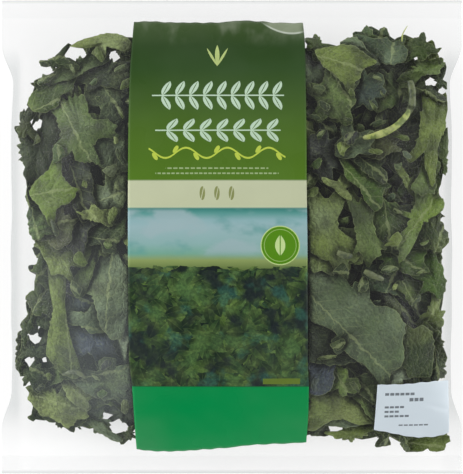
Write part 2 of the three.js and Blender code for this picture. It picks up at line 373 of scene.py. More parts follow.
def start_group(name: str, inputs: list[tuple[str, str]], outputs: list[tuple[str, str]]) -> tuple[Tree, dict, dict]:
    """Start a shader node group.

    Args:
        name: Name of the group.
        inputs: Name and kind of each input.
        outputs: Name and kind of each output.

    Returns:
        Its tree, its input sockets by name, and its output sockets by name.
    """
    group = bpy.data.node_groups.new(name, "ShaderNodeTree")
    for title, kind in inputs:
        group.interface.new_socket(title, in_out="INPUT", socket_type=kind)
    for title, kind in outputs:
        group.interface.new_socket(title, in_out="OUTPUT", socket_type=kind)
    tree = Tree(group)
    entry = tree.add("NodeGroupInput")
    leave = tree.add("NodeGroupOutput")
    return (
        tree,
        {title: entry.outputs[title] for title, _ in inputs},
        {title: leave.inputs[title] for title, _ in outputs},
    )


def film_creases() -> bpy.types.NodeTree:
    """Build the group of small creases that every piece of film and every print on it has.

    Returns:
        The group: Vector in, Height and Cloud out.
    """
    tree, entry, leave = start_group(
        "film_creases",
        [("Vector", "NodeSocketVector")],
        [("Height", "NodeSocketFloat"), ("Cloud", "NodeSocketFloat")],
    )
    place = entry["Vector"]
    broad = tree.noise(place, 28.0, 2.0)
    fine = tree.noise(place, 130.0, 3.0)
    tree.feed(broad * 0.75 + fine * 0.25, leave["Height"])
    tree.feed(tree.noise(place, 17.0, 3.0).span(0.35, 0.72), leave["Cloud"])
    return tree.nodes


def leaf_veins() -> bpy.types.NodeTree:
    """Build the group that draws a leaf's veins, blisters and streaks from its own map.

    Returns:
        The group: Vector in, in centimetres along and across the leaf; Veins, Blisters and Streaks out.
    """
    tree, entry, leave = start_group(
        "leaf_veins",
        [("Vector", "NodeSocketVector")],
        [("Veins", "NodeSocketFloat"), ("Blisters", "NodeSocketFloat"), ("Streaks", "NodeSocketFloat")],
    )
    along, across, _ = tree.split(entry["Vector"])
    sway = tree.noise(entry["Vector"], 1.6, 2.0) - 0.5
    jitter = tree.noise(entry["Vector"], 6.0, 2.0) - 0.5
    aside = (across + sway * 0.5 + jitter * 0.06).size()
    midrib = aside.span(0.035, 0.075, 1.0, 0.0)
    step = (along - aside * 0.8 + sway * 0.6 + jitter * 0.10) / 0.72
    side = (step.rest() - 0.5).size().span(0.462, 0.492) * aside.span(0.3, 1.7, 0.75, 0.0)
    cell = tree.add("ShaderNodeTexVoronoi", voronoi_dimensions="2D", feature="DISTANCE_TO_EDGE")
    tree.feed(tree.vector(along + jitter * 0.25, across + sway * 0.3), cell.inputs["Vector"])
    cell.inputs["Scale"].default_value = 3.2
    edge = Signal(tree, cell.outputs["Distance"])
    net = edge.span(0.0, 0.07, 0.22, 0.0)
    tree.feed(midrib.most(side).most(net), leave["Veins"])
    tree.feed(edge.span(0.0, 0.28), leave["Blisters"])
    tree.feed(tree.noise(tree.vector(along * 0.8, across * 5.5 + sway * 4.0), 1.5, 4.0), leave["Streaks"])
    return tree.nodes


# The bag's form


@dataclass(frozen=True)
class BagForm:
    """Sizes of the filled bag, and the heights of its front and back film."""

    length: float = 289 * MM
    seal_width: float = 281 * MM
    waist_width: float = 267 * MM
    height: float = 57 * MM
    fold: float = 22 * MM
    seal_height: float = 15 * MM
    seal_depth: float = 11 * MM
    resting_drop: float = 27 * MM
    shoulder_start: float = 93 * MM
    shoulder_end: float = 118 * MM

    @property
    def body_half(self) -> float:
        """Return half the length between the end seals."""
        return self.length / 2 - self.seal_depth

    def half_width(self, y: np.ndarray) -> np.ndarray:
        """Return half the bag's width at a place along it."""
        shoulder = ease(self.shoulder_start, self.shoulder_end, np.abs(y))
        waist = (self.waist_width + (self.seal_width - self.waist_width) * shoulder) / 2
        return waist + 0.35 * MM * ripples(y, 0 * y, 5, 46 * MM) * (1 - shoulder)

    def fold_height(self, y: np.ndarray) -> np.ndarray:
        """Return the height of the side folds at a place along the bag."""
        return self.fold + (self.seal_height - self.fold) * ease(50 * MM, self.body_half, np.abs(y))

    def fullness(self, x: np.ndarray, y: np.ndarray) -> np.ndarray:
        """Return how full the bag is, from 0 at its edges to 1 in the middle."""
        across = 1 - np.minimum(1.0, np.abs(x) / self.half_width(y)) ** 2.4
        along = 1 - np.minimum(1.0, np.abs(y) / self.body_half) ** 2.6
        return np.sqrt(across) * along**0.6

    def puckers(self, x: np.ndarray, y: np.ndarray, seed: int) -> np.ndarray:
        """Return the height of the film's puckers, which run in from the seals and the side folds.

        Args:
            x: Places across the bag.
            y: Places along the bag.
            seed: Seed of the draw.

        Returns:
            Heights above the smooth film.
        """
        draw = np.random.default_rng(seed)
        total = np.zeros_like(x, dtype=float)
        for end in (-1.0, 1.0):
            inward = np.maximum(0.0, self.body_half - end * y)
            for _ in range(24):
                centre = draw.uniform(-0.135, 0.135)
                width = draw.uniform(1.8, 5.5) * MM
                reach = draw.uniform(9, 40) * MM
                rise = draw.choice([-1.0, 1.0]) * draw.uniform(0.25, 1.0) * MM
                lean = draw.uniform(-0.45, 0.45) - 1.2 * centre
                offset = x - centre - lean * inward
                spread = width * (1 + 1.6 * inward / reach)
                fade = (1 - np.exp(-inward / (4 * MM))) * np.exp(-((inward / reach) ** 1.6))
                total += rise * np.exp(-((offset / spread) ** 2)) * fade
        for side in (-1.0, 1.0):
            inward = np.maximum(0.0, self.half_width(y) - side * x)
            for _ in range(26):
                centre = draw.uniform(-0.118, 0.118)
                width = draw.uniform(1.8, 5.0) * MM
                reach = draw.uniform(7, 24) * MM
                rise = draw.choice([-1.0, 1.0]) * draw.uniform(0.2, 0.75) * MM
                lean = draw.uniform(-0.5, 0.5)
                offset = y - centre - lean * inward
                fade = (1 - np.exp(-inward / (3 * MM))) * np.exp(-((inward / reach) ** 1.6))
                total += rise * np.exp(-((offset / width) ** 2)) * fade
        edge = np.minimum(self.half_width(y) - np.abs(x), self.body_half - np.abs(y))
        dents = 0.30 * MM * ripples(x, y, seed + 1, 44 * MM) + 0.14 * MM * ripples(x, y, seed + 2, 17 * MM)
        return total + dents * ease(0.0, 16 * MM, edge)

    def front(self, x: np.ndarray, y: np.ndarray) -> np.ndarray:
        """Return the height of the front film."""
        smooth = self.fold_height(y) + (self.height - self.fold) * self.fullness(x, y)
        return np.minimum(smooth + self.puckers(x, y, 41), self.height + 0.0002)

    def back(self, x: np.ndarray, y: np.ndarray) -> np.ndarray:
        """Return the height of the back film, which lies flat on the table in the middle."""
        hang = self.fold_height(y) - self.resting_drop * self.fullness(x, y)
        lift = np.clip(hang / (4 * MM), 0.0, 1.0)
        return np.maximum(0.0, hang + lift * self.puckers(x, y, 67))


@dataclass(frozen=True)
class FilmFinish:
    """Clear glossy film, faintly clouded, with a whitish veil on its left: a painted reflection of the left lamp."""

    tint: tuple = linear(250, 252, 252)
    bending: float = 1.46
    # Strength of the whitish veil: a faint clouding, and over the left a painted reflection.
    cloud: float = 0.11
    haze: tuple = linear(214, 228, 228)
    roughness: float = 0.13

    def material(self, creases: bpy.types.NodeTree) -> bpy.types.Material:
        """Build the film's material."""
        tree, material, out = Tree.of_material("clear_film")
        place = tree.place()
        fine = tree.group(creases, Vector=place)
        across, up, _ = tree.split(place)
        seal = up.size().span(0.1325, 0.1345)
        clear = tree.add("ShaderNodeBsdfTransparent")
        gloss = tree.add("ShaderNodeBsdfPrincipled")
        gloss.inputs["Base Color"].default_value = self.tint
        gloss.inputs["Metallic"].default_value = 0.35
        smear = tree.noise(place, 60.0).span(0.3, 0.7, self.roughness, self.roughness + 0.09)
        tree.feed(smear, gloss.inputs["Roughness"])
        tree.feed(tree.bump(Signal(tree, fine.outputs["Height"]), 0.35, 0.0012), gloss.inputs["Normal"])
        glance = tree.add("ShaderNodeFresnel")
        behind = Signal(tree, tree.add("ShaderNodeNewGeometry").outputs["Backfacing"])
        tree.feed(behind * (1 / self.bending - self.bending) + self.bending, glance.inputs["IOR"])
        # Painted shade and light: the film passes less light near its side folds, its seal ends and its top, so the
        # table seen through it looks grey there, and a little more light through its foot.
        rim = across.size().span(0.1262, 0.1312) * up.size().span(0.100, 0.118, 1.0, 0.12)
        rim = rim.most(up.size().span(0.1415, 0.1440) * 0.8).most(up.span(0.100, 0.116, 0.0, 0.12))
        bright = tree.blend(up.span(-0.134, -0.110, 1.0, 0.0), linear(250, 250, 250), linear(254, 254, 254))
        tree.feed(tree.blend(rim, bright, linear(240, 241, 241)), clear.inputs["Color"])
        # Painted reflection: a whitish diffuse veil, strongest over the lower left, stands for the left soft box's
        # sheen on the film; elsewhere it is a faint clouding.
        glare_veil_share = across.span(-0.075, -0.02, 1.0, 0.12) * up.span(-0.08, 0.04, 0.98, 0.2)
        glare_veil_share = glare_veil_share * across.size().span(0.115, 0.128, 1.0, 0.35) * up.size().span(0.1, 0.125, 1.0, 0.35)
        veil = tree.add("ShaderNodeBsdfDiffuse")
        veil.inputs["Color"].default_value = self.haze
        haze_and_glare_mix = tree.add("ShaderNodeMixShader")
        tree.feed((Signal(tree, fine.outputs["Cloud"]) * 0.6 + 0.4) * glare_veil_share * self.cloud, haze_and_glare_mix.inputs[0])
        tree.feed(clear.outputs[0], haze_and_glare_mix.inputs[1])
        tree.feed(veil.outputs[0], haze_and_glare_mix.inputs[2])
        slack = across.size().span(0.096, 0.120, 0.7, 0.24) * up.size().span(0.098, 0.118, 1.0, 0.5)
        share = Signal(tree, glance.outputs[0]) * slack + seal * up.span(-0.01, 0.01, 0.05, 0.02)
        mix = tree.add("ShaderNodeMixShader")
        tree.feed(share.least(1.0), mix.inputs[0])
        tree.feed(haze_and_glare_mix.outputs[0], mix.inputs[1])
        tree.feed(gloss.outputs[0], mix.inputs[2])
        tree.feed(mix.outputs[0], out.inputs["Surface"])
        return material


@dataclass
class FilmBag:
    """The clear film: a front and a back, folded at the sides and crimped together at the ends."""

    form: BagForm
    columns: int = 170
    rows: int = 236
    seal_share: float = 0.17
    ridge: float = 0.22 * MM
    pitch: float = 1.6 * MM
    film: float = 0.12 * MM

    def _along(self, v: np.ndarray) -> np.ndarray:
        """Spread the grid's rows, with more of them in the crimped seals."""
        form = self.form
        body = 1 - self.seal_share
        inner = np.abs(v) / body * form.body_half
        outer = form.body_half + (np.abs(v) - body) / self.seal_share * form.seal_depth
        return np.sign(v) * np.where(np.abs(v) <= body, inner, outer)

    def _place(self, front: bool) -> Callable:
        """Return the function that lays out one face of the film."""
        form = self.form

        def place(u: np.ndarray, v: np.ndarray) -> tuple:
            y = self._along(v)
            across = 0.45 * u + 0.55 * np.sin(u * math.pi / 2)
            x = across * form.half_width(y)
            outward = np.abs(y) - form.body_half
            in_seal = ease(-0.4 * MM, 1.2 * MM, outward)
            crimp = self.ridge * np.cos(2 * math.pi * outward / self.pitch)
            sag = 0.7 * MM * ripples(x, 0 * x, 9 if v.mean() > 0 else 13, 70 * MM) * ease(0, form.seal_depth, outward)
            face = form.front(x, y) if front else form.back(x, y)
            inside = (np.abs(u) < 1) & (np.abs(v) < 1)
            half_film = np.where(inside, self.film if front else -self.film, 0.0)
            seal_z = form.seal_height + crimp * in_seal + sag + half_film
            return x, y, np.where(outward > 0, seal_z, face)

        return place

    def build(self, material: bpy.types.Material) -> bpy.types.Object:
        """Build and dress the film.

        Args:
            material: The film's material.

        Returns:
            The finished piece.
        """
        front = grid_piece("clear_film_bag", self.columns, self.rows, self._place(True))
        back = grid_piece("clear_film_back", self.columns, self.rows, self._place(False))
        deselect_all()
        front.select_set(True)
        back.select_set(True)
        bpy.context.view_layer.objects.active = front
        bpy.ops.object.join()
        close_seams(front)
        dress(front, material, ["film_bag"])
        return front


@dataclass(frozen=True)
class BandFinish:
    """The band's print: green fields, a bluish wash, a cream strip, plain ornament and a collage of leaves."""

    foot: float = -127 * MM
    top: float = 130 * MM

    def _level(self, y: float) -> float:
        """Return how far up the band a place is, from 0 to 1."""
        return (y * MM - self.foot) / (self.top - self.foot)

    def _fields(self) -> list[tuple[float, tuple]]:
        """Return the stops of the plain colour fields, from the foot up."""
        rows = [
            (-127.0, (0, 144, 75)), (-88.2, (0, 142, 74)),
            (-88.0, (34, 46, 42)), (-30.0, (46, 62, 50)), (-19.0, (98, 118, 66)), (-13.5, (140, 158, 96)),
            (-9.5, (118, 168, 148)), (-4.0, (140, 178, 176)), (6.0, (154, 184, 188)), (10.0, (142, 180, 184)),
            (14.0, (88, 152, 146)), (17.3, (42, 120, 112)), (17.5, (196, 206, 172)), (18.2, (194, 200, 166)),
            (33.4, (196, 202, 170)), (33.6, (84, 120, 38)), (60.0, (76, 108, 38)), (84.0, (58, 86, 34)),
            (100.0, (44, 72, 30)), (114.0, (38, 64, 24)), (130.0, (54, 75, 34)),
        ]
        return [(self._level(y), linear(*colour)) for y, colour in rows]

    def material(self, creases: bpy.types.NodeTree) -> bpy.types.Material:
        """Build the band's material."""
        tree, material, out = Tree.of_material("band_print")
        place = tree.place()
        x, y, _ = tree.split(place)
        level = (y - self.foot) / (self.top - self.foot)
        colour = tree.ramp(level, self._fields())
        cloud = tree.noise(tree.vector(x * 0.6, y), 42.0, 4.0)
        in_wash = y.span(-0.013, -0.007) * y.span(0.0145, 0.0174, 1.0, 0.0)
        colour = tree.blend(cloud.span(0.50, 0.60) * in_wash * 0.8, colour, linear(158, 182, 186))
        colour = tree.blend(cloud.span(0.34, 0.46, 1.0, 0.0) * in_wash * 0.7, colour, linear(86, 152, 148))
        colour = self._collage(tree, place, y, colour)
        colour = self._sprig(tree, x, y, colour)
        colour = self._small_marks(tree, x, y, colour)
        colour = self._disc(tree, x, y, colour)
        # Painted glare: pale blotches along the band's top stand for the film's sheen where it curves over the top.
        top_glare = tree.noise(tree.vector(x * 1.3, y * 0.8), 46.0, 3.0).span(0.44, 0.68) * y.span(0.112, 0.128)
        colour = tree.blend(top_glare * 0.38, colour, linear(150, 158, 138))
        sheen = x.span(-0.052, -0.030, 0.8, 0.0).most(x.span(0.010, 0.034, 0.0, 0.3))
        sheen = sheen * y.span(-0.118, -0.096, 1.0, 0.0)
        colour = tree.blend(sheen * cloud.span(0.3, 0.6, 0.2, 0.5), colour, linear(70, 150, 96))
        # A crease painted across the top right corner: the corner above it is lighter and greyer, and the pale line
        # along it is a painted highlight.
        drop = y - (x - 0.0362).power(2.0) * 23.5 - 0.1226
        bend = x.span(0.017, 0.024) * x.span(0.040, 0.044, 1.0, 0.3)
        colour = tree.blend(drop.span(0.0, 0.0010) * bend * cloud.span(0.3, 0.6, 0.35, 0.8), colour,
                            linear(138, 148, 124))
        colour = tree.blend(drop.size().span(0.0001, 0.0010, 0.7, 0.0) * bend, colour, linear(206, 214, 200))
        gloss = tree.add("ShaderNodeBsdfPrincipled")
        fine = tree.group(creases, Vector=place)
        worn = Signal(tree, fine.outputs["Cloud"])
        tree.feed(tree.blend(worn * 0.02, colour, linear(190, 205, 190)), gloss.inputs["Base Color"])
        tree.feed(worn.span(0.0, 1.0, 0.26, 0.36), gloss.inputs["Roughness"])
        gloss.inputs["Specular IOR Level"].default_value = 0.09
        tree.feed(tree.bump(Signal(tree, fine.outputs["Height"]), 0.3, 0.0012), gloss.inputs["Normal"])
        tree.feed(gloss.outputs[0], out.inputs["Surface"])
        return material

    def _collage(self, tree: Tree, place: object, y: Signal, under: object) -> object:
        """Lay small pointed leaves over each other, turned every way, on the lower field."""
        stain = tree.noise(place, 75.0, 3.0)
        brush = tree.noise(place, 620.0, 3.0)
        ground = tree.blend(stain.span(0.35, 0.65), linear(30, 40, 36), linear(48, 62, 46))
        zone_foot, zone_top = -0.0881, -0.0165
        zone = y.above(zone_foot) * (y + stain * 0.012).below(zone_top + 0.004)
        colour = tree.blend(zone, under, ground)
        for layer in range(7):
            scale = 150.0 - 9.0 * layer
            moved = tree.add("ShaderNodeMapping")
            tree.feed(place, moved.inputs["Vector"])
            moved.inputs["Location"].default_value = (0.31 * layer, 0.17 * layer, 0.0)
            moved.inputs["Rotation"].default_value = (0.0, 0.0, 0.9 * layer)
            cell = tree.add("ShaderNodeTexVoronoi", voronoi_dimensions="2D")
            tree.feed(moved.outputs[0], cell.inputs["Vector"])
            cell.inputs["Scale"].default_value = scale
            cell.inputs["Randomness"].default_value = 0.8
            px, py, _ = tree.split(moved.outputs[0])
            cx, cy, _ = tree.split(cell.outputs["Position"])
            luck, spin, tone = tree.split(cell.outputs["Color"])
            turn = spin * 6.283
            cos, sin = turn.cosine(), turn.sine()
            dx, dy = (px - cx) * scale, (py - cy) * scale
            along, across = dx * cos + dy * sin, dy * cos - dx * sin
            reach = (1.0 - (along / 0.62).size().power(1.7)).most(0.0)
            half = reach * (luck * 0.1 + 0.2) + brush * reach * 0.10
            leaf = across.size().below(half)
            greens = tree.ramp(tone * 0.8 + stain * 0.2, [
                (0.0, linear(34, 52, 38)), (0.3, linear(48, 70, 44)), (0.5, linear(62, 92, 48)),
                (0.66, linear(44, 76, 58)), (0.8, linear(92, 122, 54)), (0.92, linear(66, 104, 66)),
                (1.0, linear(64, 118, 104)),
            ])
            tip = along.span(-0.5, 0.55)
            lit = tree.blend(tip * 0.35, greens, linear(128, 152, 84))
            lit = tree.blend(across.above(0.0) * 0.38, lit, linear(26, 38, 30))
            lit = tree.blend((1.0 - tip) * 0.45, lit, linear(26, 36, 32))
            lit = tree.blend(across.size().below(0.016) * 0.14, lit, linear(140, 160, 100))
            shown = leaf * y.above(zone_foot) * (y + luck * 0.009).below(zone_top)
            colour = tree.blend(shown, colour, lit)
        mass = tree.noise(place, 64.0, 3.0)
        colour = tree.blend(mass.span(0.36, 0.52, 0.85, 0.0) * zone, colour, linear(36, 42, 48))
        colour = tree.blend(mass.span(0.53, 0.68, 0.0, 0.5) * zone, colour, linear(96, 134, 76))
        colour = tree.blend(stain.span(0.56, 0.70, 0.0, 0.4) * zone, colour, linear(64, 120, 104))
        return tree.blend(brush.span(0.35, 0.65, 0.4, 0.0) * zone, colour, linear(24, 34, 32))

    def _sprig(self, tree: Tree, x: Signal, y: Signal, under: object) -> object:
        """Draw two plain sprigs with paired leaves across the upper field."""
        colour = under
        for middle_y, reach, height, pitch in ((0.0835, 4, 0.0088, 0.0082), (0.0625, 3, 0.0070, 0.0098)):
            dx, dy = x + 0.0080, y - middle_y
            place = dx / pitch - dy.size() / height * 0.55
            cell = (place + 0.5).rest() - 0.5
            inside = (place + 0.5).whole().size().below(reach + 0.5)
            lift = dy.size() / height
            plump = (1.0 - (lift * 2.0 - 1.0).size().power(2.2)).most(0.0)
            leaf = cell.size().below(plump * 0.27) * lift.below(1.0) * inside
            leaf = leaf * cell.size().above(plump * 0.03)
            stem = dy.size().below(0.0004) * dx.size().below((reach + 0.75) * pitch)
            colour = tree.blend(stem.most(leaf) * 0.88, colour, linear(196, 220, 196))
        return colour

    def _small_marks(self, tree: Tree, x: Signal, y: Signal, under: object) -> object:
        """Draw a small posy, a lime tendril with berries, dashes, and a bare olive bar."""
        dx = x + 0.0085
        across, up = dx.size(), y - 0.1015
        fan = (across - up * 0.55).size().below((up * (0.0115 - up) * 26.0).most(0.0)).most(
            across.below((up * (0.0135 - up) * 30.0).most(0.0)))
        colour = tree.blend(fan * up.above(0.0) * 0.85, under, linear(186, 204, 128))
        swing = dx * 260.0
        wave = swing.sine() * 0.0030
        bend = y - wave - 0.0492
        tendril = bend.size().below(0.00055) * across.below(0.0400)
        turn = (swing / 3.1416 + 0.5).rest() - 0.5
        side = swing.cosine() * 0.0022
        berry = ((turn * 0.0121).power(2.0) + (bend - side).power(2.0)).power(0.5).below(0.0017)
        colour = tree.blend(tendril.most(berry * across.below(0.0405)) * 0.9, colour, linear(194, 212, 84))
        for level, reach, pitch in ((0.0402, 0.0300, 0.0034), (0.0372, 0.0360, 0.0027)):
            dash = (y - level).size().below(0.00045) * across.below(reach) * (x / pitch).rest().below(0.72)
            colour = tree.blend(dash * 0.6, colour, linear(186, 206, 158))
        for offset in (-0.0085, 0.0, 0.0085):
            px, py = (dx - offset) / 0.0034, (y - 0.0256) / 0.0040
            pod = (px * px).below((1.0 - py.size().power(2.0)).most(0.0) * 0.22) * py.size().below(1.0)
            pod = pod * (px - py * 0.25).size().above(0.07)
            colour = tree.blend(pod * 0.85, colour, linear(122, 130, 62))
        bar = x.above(0.0185) * x.below(0.0405) * y.above(-0.0868) * y.below(-0.0834)
        return tree.blend(bar * 0.9, colour, linear(104, 124, 44))

    def _disc(self, tree: Tree, x: Signal, y: Signal, under: object) -> object:
        """Draw a plain green disc with a pale rim and one leaf."""
        dx, dy = x - 0.0284, y + 0.0049
        radius = (dx * dx + dy * dy).power(0.5)
        colour = tree.blend(radius.below(0.0115), under, linear(190, 214, 140))
        colour = tree.blend(radius.below(0.0109), colour, linear(84, 138, 20))
        ring = (radius - 0.0093).size().below(0.00022)
        colour = tree.blend(ring * 0.5, colour, linear(190, 214, 140))
        leaf = dx.size().below((1.0 - (dy / 0.0062).size().power(2.0)).most(0.0) * 0.0030)
        leaf = leaf * dx.size().above(0.0003)
        return tree.blend(leaf, colour, linear(196, 220, 150))


@dataclass(frozen=True)
class PanelFinish:
    """The small panel's print: bluish white, with rows of plain dashes."""

    white: tuple = linear(218, 230, 238)
    rule: tuple = linear(52, 62, 70)
    pitch: float = 0.0031

    def material(self, creases: bpy.types.NodeTree) -> bpy.types.Material:
        """Build the panel's material."""
        tree, material, out = Tree.of_material("panel_print")
        place = tree.place()
        x, y, _ = tree.split(place)
        rules = None
        for height, left, dashes, half in (
            (-0.0938, 0.0915, 6, 0.00080), (-0.0974, 0.1065, 3, 0.00105), (-0.1018, 0.0915, 4, 0.00065),
            (-0.1046, 0.0915, 3, 0.00065), (-0.1074, 0.0915, 5, 0.00065), (-0.1132, 0.1005, 6, 0.00045),
        ):
            line = (y - height).size().below(half) * x.above(left) * x.below(left + self.pitch * dashes)
            line = line * ((x - left) / self.pitch).rest().below(0.8)
            rules = line if rules is None else rules.most(line)
        fine = tree.group(creases, Vector=place)
        worn = Signal(tree, fine.outputs["Cloud"])
        colour = tree.blend(worn * 0.25, self.white, linear(206, 218, 226))
        colour = tree.blend(rules * 0.8, colour, self.rule)
        gloss = tree.add("ShaderNodeBsdfPrincipled")
        tree.feed(colour, gloss.inputs["Base Color"])
        tree.feed(worn.span(0.0, 1.0, 0.3, 0.42), gloss.inputs["Roughness"])
        tree.feed(tree.bump(Signal(tree, fine.outputs["Height"]), 0.25, 0.001), gloss.inputs["Normal"])
        tree.feed(gloss.outputs[0], out.inputs["Surface"])
        return material


@dataclass
class Print:
    """A printed field on the front film, which follows its creases."""

    form: BagForm
    name: str
    node: str
    slot: str
    left: float
    right: float
    edges: tuple[tuple[float, float, float], ...]
    ends: tuple[tuple[float, float, float], ...]
    columns: int
    rows: int
    stand_off: float = 0.30 * MM
    ink: float = 0.12 * MM
    wave: float = 0.25 * MM

    def _place(self, u: np.ndarray, v: np.ndarray) -> tuple:
        """Lay out the print over the film."""
        edges, ends = np.array(self.edges) * MM, np.array(self.ends) * MM
        across = self.left + (self.right - self.left) * (u + 1) / 2
        low, high = (np.interp(across, ends[:, 0], ends[:, k]) for k in (1, 2))
        y = low + (high - low) * (v + 1) / 2
        left, right = (np.interp(y, edges[:, 0], edges[:, k]) for k in (1, 2))
        x = left + (right - left) * (u + 1) / 2
        end = np.sign(v) * ease(0.93, 1.0, np.abs(v))
        y = y + self.wave * end * ripples(x, 0 * x, 31, 9 * MM)
        return x, y, self.form.front(x, y) + self.stand_off + self.ink

    def build(self, material: bpy.types.Material) -> bpy.types.Object:
        """Build and dress the print.

        Args:
            material: The print's material.

        Returns:
            The finished piece.
        """
        piece = grid_piece(self.name, self.columns, self.rows, self._place)
        thicken(piece, self.ink)
        dress(piece, material, [self.node])
        return piece


# How the band's side edges run, from the foot up: y, left and right in millimetres
BAND_EDGES = (
    (-127.0, -57.5, 45.0), (-105.0, -58.2, 45.8), (-88.0, -58.8, 45.7), (-72.0, -60.3, 44.8), (0.0, -60.6, 44.3),
    (33.0, -60.6, 43.9), (90.0, -60.5, 43.9), (102.0, -60.3, 44.1), (118.0, -59.6, 44.0), (130.0, -59.2, 43.3),
)

# How its ends run, from the left: x, foot and top in millimetres
BAND_ENDS = (
    (-58.0, -128.8, 130.8), (-50.0, -129.8, 130.9), (-40.0, -130.1, 130.3), (-30.0, -129.7, 130.0),
    (-20.0, -128.7, 129.9), (-10.0, -127.9, 130.0), (-3.0, -127.3, 130.4), (3.0, -126.4, 131.3), (8.0, -125.7, 131.6),
    (20.0, -125.0, 130.9), (26.0, -124.6, 129.9), (34.0, -124.4, 129.7), (44.0, -123.9, 129.9),
)

# The panel's side edges and ends, in the same way
PANEL_EDGES = ((-121.0, 85.2, 132.0), (-100.0, 86.2, 131.5), (-86.0, 86.8, 131.0))
PANEL_ENDS = (
    (86.0, -115.6, -88.0), (92.0, -116.8, -87.9), (97.0, -118.3, -87.7), (103.0, -119.9, -87.5), (108.0, -120.9, -87.3),
    (115.0, -121.2, -87.0), (122.0, -120.8, -86.7), (128.0, -119.9, -86.5), (131.0, -118.6, -86.4),
)


# Leaves


class Tint(Enum):
    """Leaf colours, as display numbers."""

    OLIVE = (134, 150, 78)
    MOSS = (98, 116, 44)
    SAGE = (118, 138, 80)
    GREY = (92, 106, 76)
    MIST = (116, 132, 106)
    TEAL = (78, 100, 76)
    FRESH = (82, 112, 42)
    BOTTLE = (72, 92, 42)
    FERN = (104, 124, 70)
    NIGHT = (46, 58, 36)
    BRIGHT = (134, 160, 64)
    DARK = (60, 76, 44)
    SHADE = (66, 67, 74)
    BROWN = (88, 90, 60)
    PALE = (168, 180, 116)
    STRIPE = (94, 114, 70)
    HAZE = (132, 147, 124)
    SLATE = (88, 95, 128)
    MILKY = (172, 184, 166)


class Cut(Enum):
    """How a leaf piece is cut: what its margin and its fold are like."""

    BROAD = "broad"
    LOBED = "lobed"
    FRILL = "frill"
    STRAP = "strap"


@dataclass(frozen=True)
class CutStyle:
    """Numbers behind a kind of cut: lengths in millimetres, depths as shares of the leaf."""

    lobe: float
    lobe_depth: float
    tooth: float
    tooth_depth: float
    tears: int
    cuts: int
    bow: float
    ruffle: float
    turns: int
    fold: float
    curl: float
    torn: float


CUT_STYLES = {
    Cut.BROAD: CutStyle(19.0, 0.10, 4.2, 0.03, 1, 3, 0.25, 0.6, 5, 0.0, 0.2, 0.35),
    Cut.LOBED: CutStyle(14.0, 0.30, 4.4, 0.08, 2, 1, 0.35, 1.1, 8, 0.3, 0.3, 0.6),
    Cut.FRILL: CutStyle(11.0, 0.28, 3.4, 0.16, 3, 1, 0.30, 1.9, 11, 0.3, 0.3, 0.9),
    Cut.STRAP: CutStyle(20.0, 0.14, 5.0, 0.05, 1, 1, 0.90, 0.5, 4, 1.4, 0.2, 0.4),
}


@dataclass(frozen=True)
class LeafPiece:
    """One cut piece of a leaf: its middle, its size, the way it points, and its looks."""

    name: str
    x: float
    y: float
    length: float
    width: float
    turn: float
    tint: Tint
    cut: Cut
    sink: float = 0.5 * MM
    seed: int = 0
    rings: int = 8
    spokes: int = 80
    outline: tuple[tuple[float, float], ...] = ()

    @classmethod
    def from_outline(cls, name: str, tint: Tint, cut: Cut, sink: float, turn: float,
                     outline: list[tuple[float, float]], seed: int) -> "LeafPiece":
        """Make a leaf piece of an outline in millimetres.

        Args:
            name: The frame node that it stands for, or nothing.
            tint: Its colour.
            cut: How it is cut.
            sink: How deep it lies under the film, in millimetres.
            turn: The way it points, in degrees.
            outline: Its corners, in turn.
            seed: Seed of its small forms.

        Returns:
            The leaf piece.
        """
        corners = np.array(outline) * MM
        after = np.roll(corners, -1, axis=0)
        cross = corners[:, 0] * after[:, 1] - after[:, 0] * corners[:, 1]
        middle = ((corners + after) * cross[:, None]).sum(axis=0) / (3 * cross.sum())
        way = np.array([math.cos(math.radians(turn)), math.sin(math.radians(turn))])
        along = (corners - middle) @ way
        across = (corners - middle) @ np.array([-way[1], way[0]])
        around = np.linalg.norm(after - corners, axis=1).sum()
        return cls(
            name, middle[0], middle[1], float(np.ptp(along)), float(np.ptp(across)), turn, tint, cut, sink * MM,
            seed, int(np.clip(around / (14 * MM), 5, 10)), int(np.clip(around / (1.1 * MM), 40, 150)),
            tuple(map(tuple, corners)),
        )

    def covers(self, x: float, y: float) -> bool:
        """Return whether the outline holds a place, or comes near it."""
        way = math.atan2(y - self.y, x - self.x) - math.radians(self.turn)
        return math.hypot(x - self.x, y - self.y) < self.reach(np.array([way]))[0] + 2 * MM

    def reach(self, angle: np.ndarray) -> np.ndarray:
        """Return how far the outline is from the middle at each angle, counted from the leaf's own length."""
        corners = np.array(self.outline) - (self.x, self.y)
        edge = np.roll(corners, -1, axis=0) - corners
        turned = angle + math.radians(self.turn)
        way = np.stack([np.cos(turned), np.sin(turned)], axis=1)[:, None, :]
        steep = way[..., 0] * edge[:, 1] - way[..., 1] * edge[:, 0]
        steep = np.where(np.abs(steep) < 1e-12, 1e-12, steep)
        far = (corners[:, 0] * edge[:, 1] - corners[:, 1] * edge[:, 0]) / steep
        share = (corners[:, 0] * way[..., 1] - corners[:, 1] * way[..., 0]) / steep
        hit = (share >= -1e-6) & (share <= 1 + 1e-6) & (far > 0)
        return np.where(hit, far, np.inf).min(axis=1)


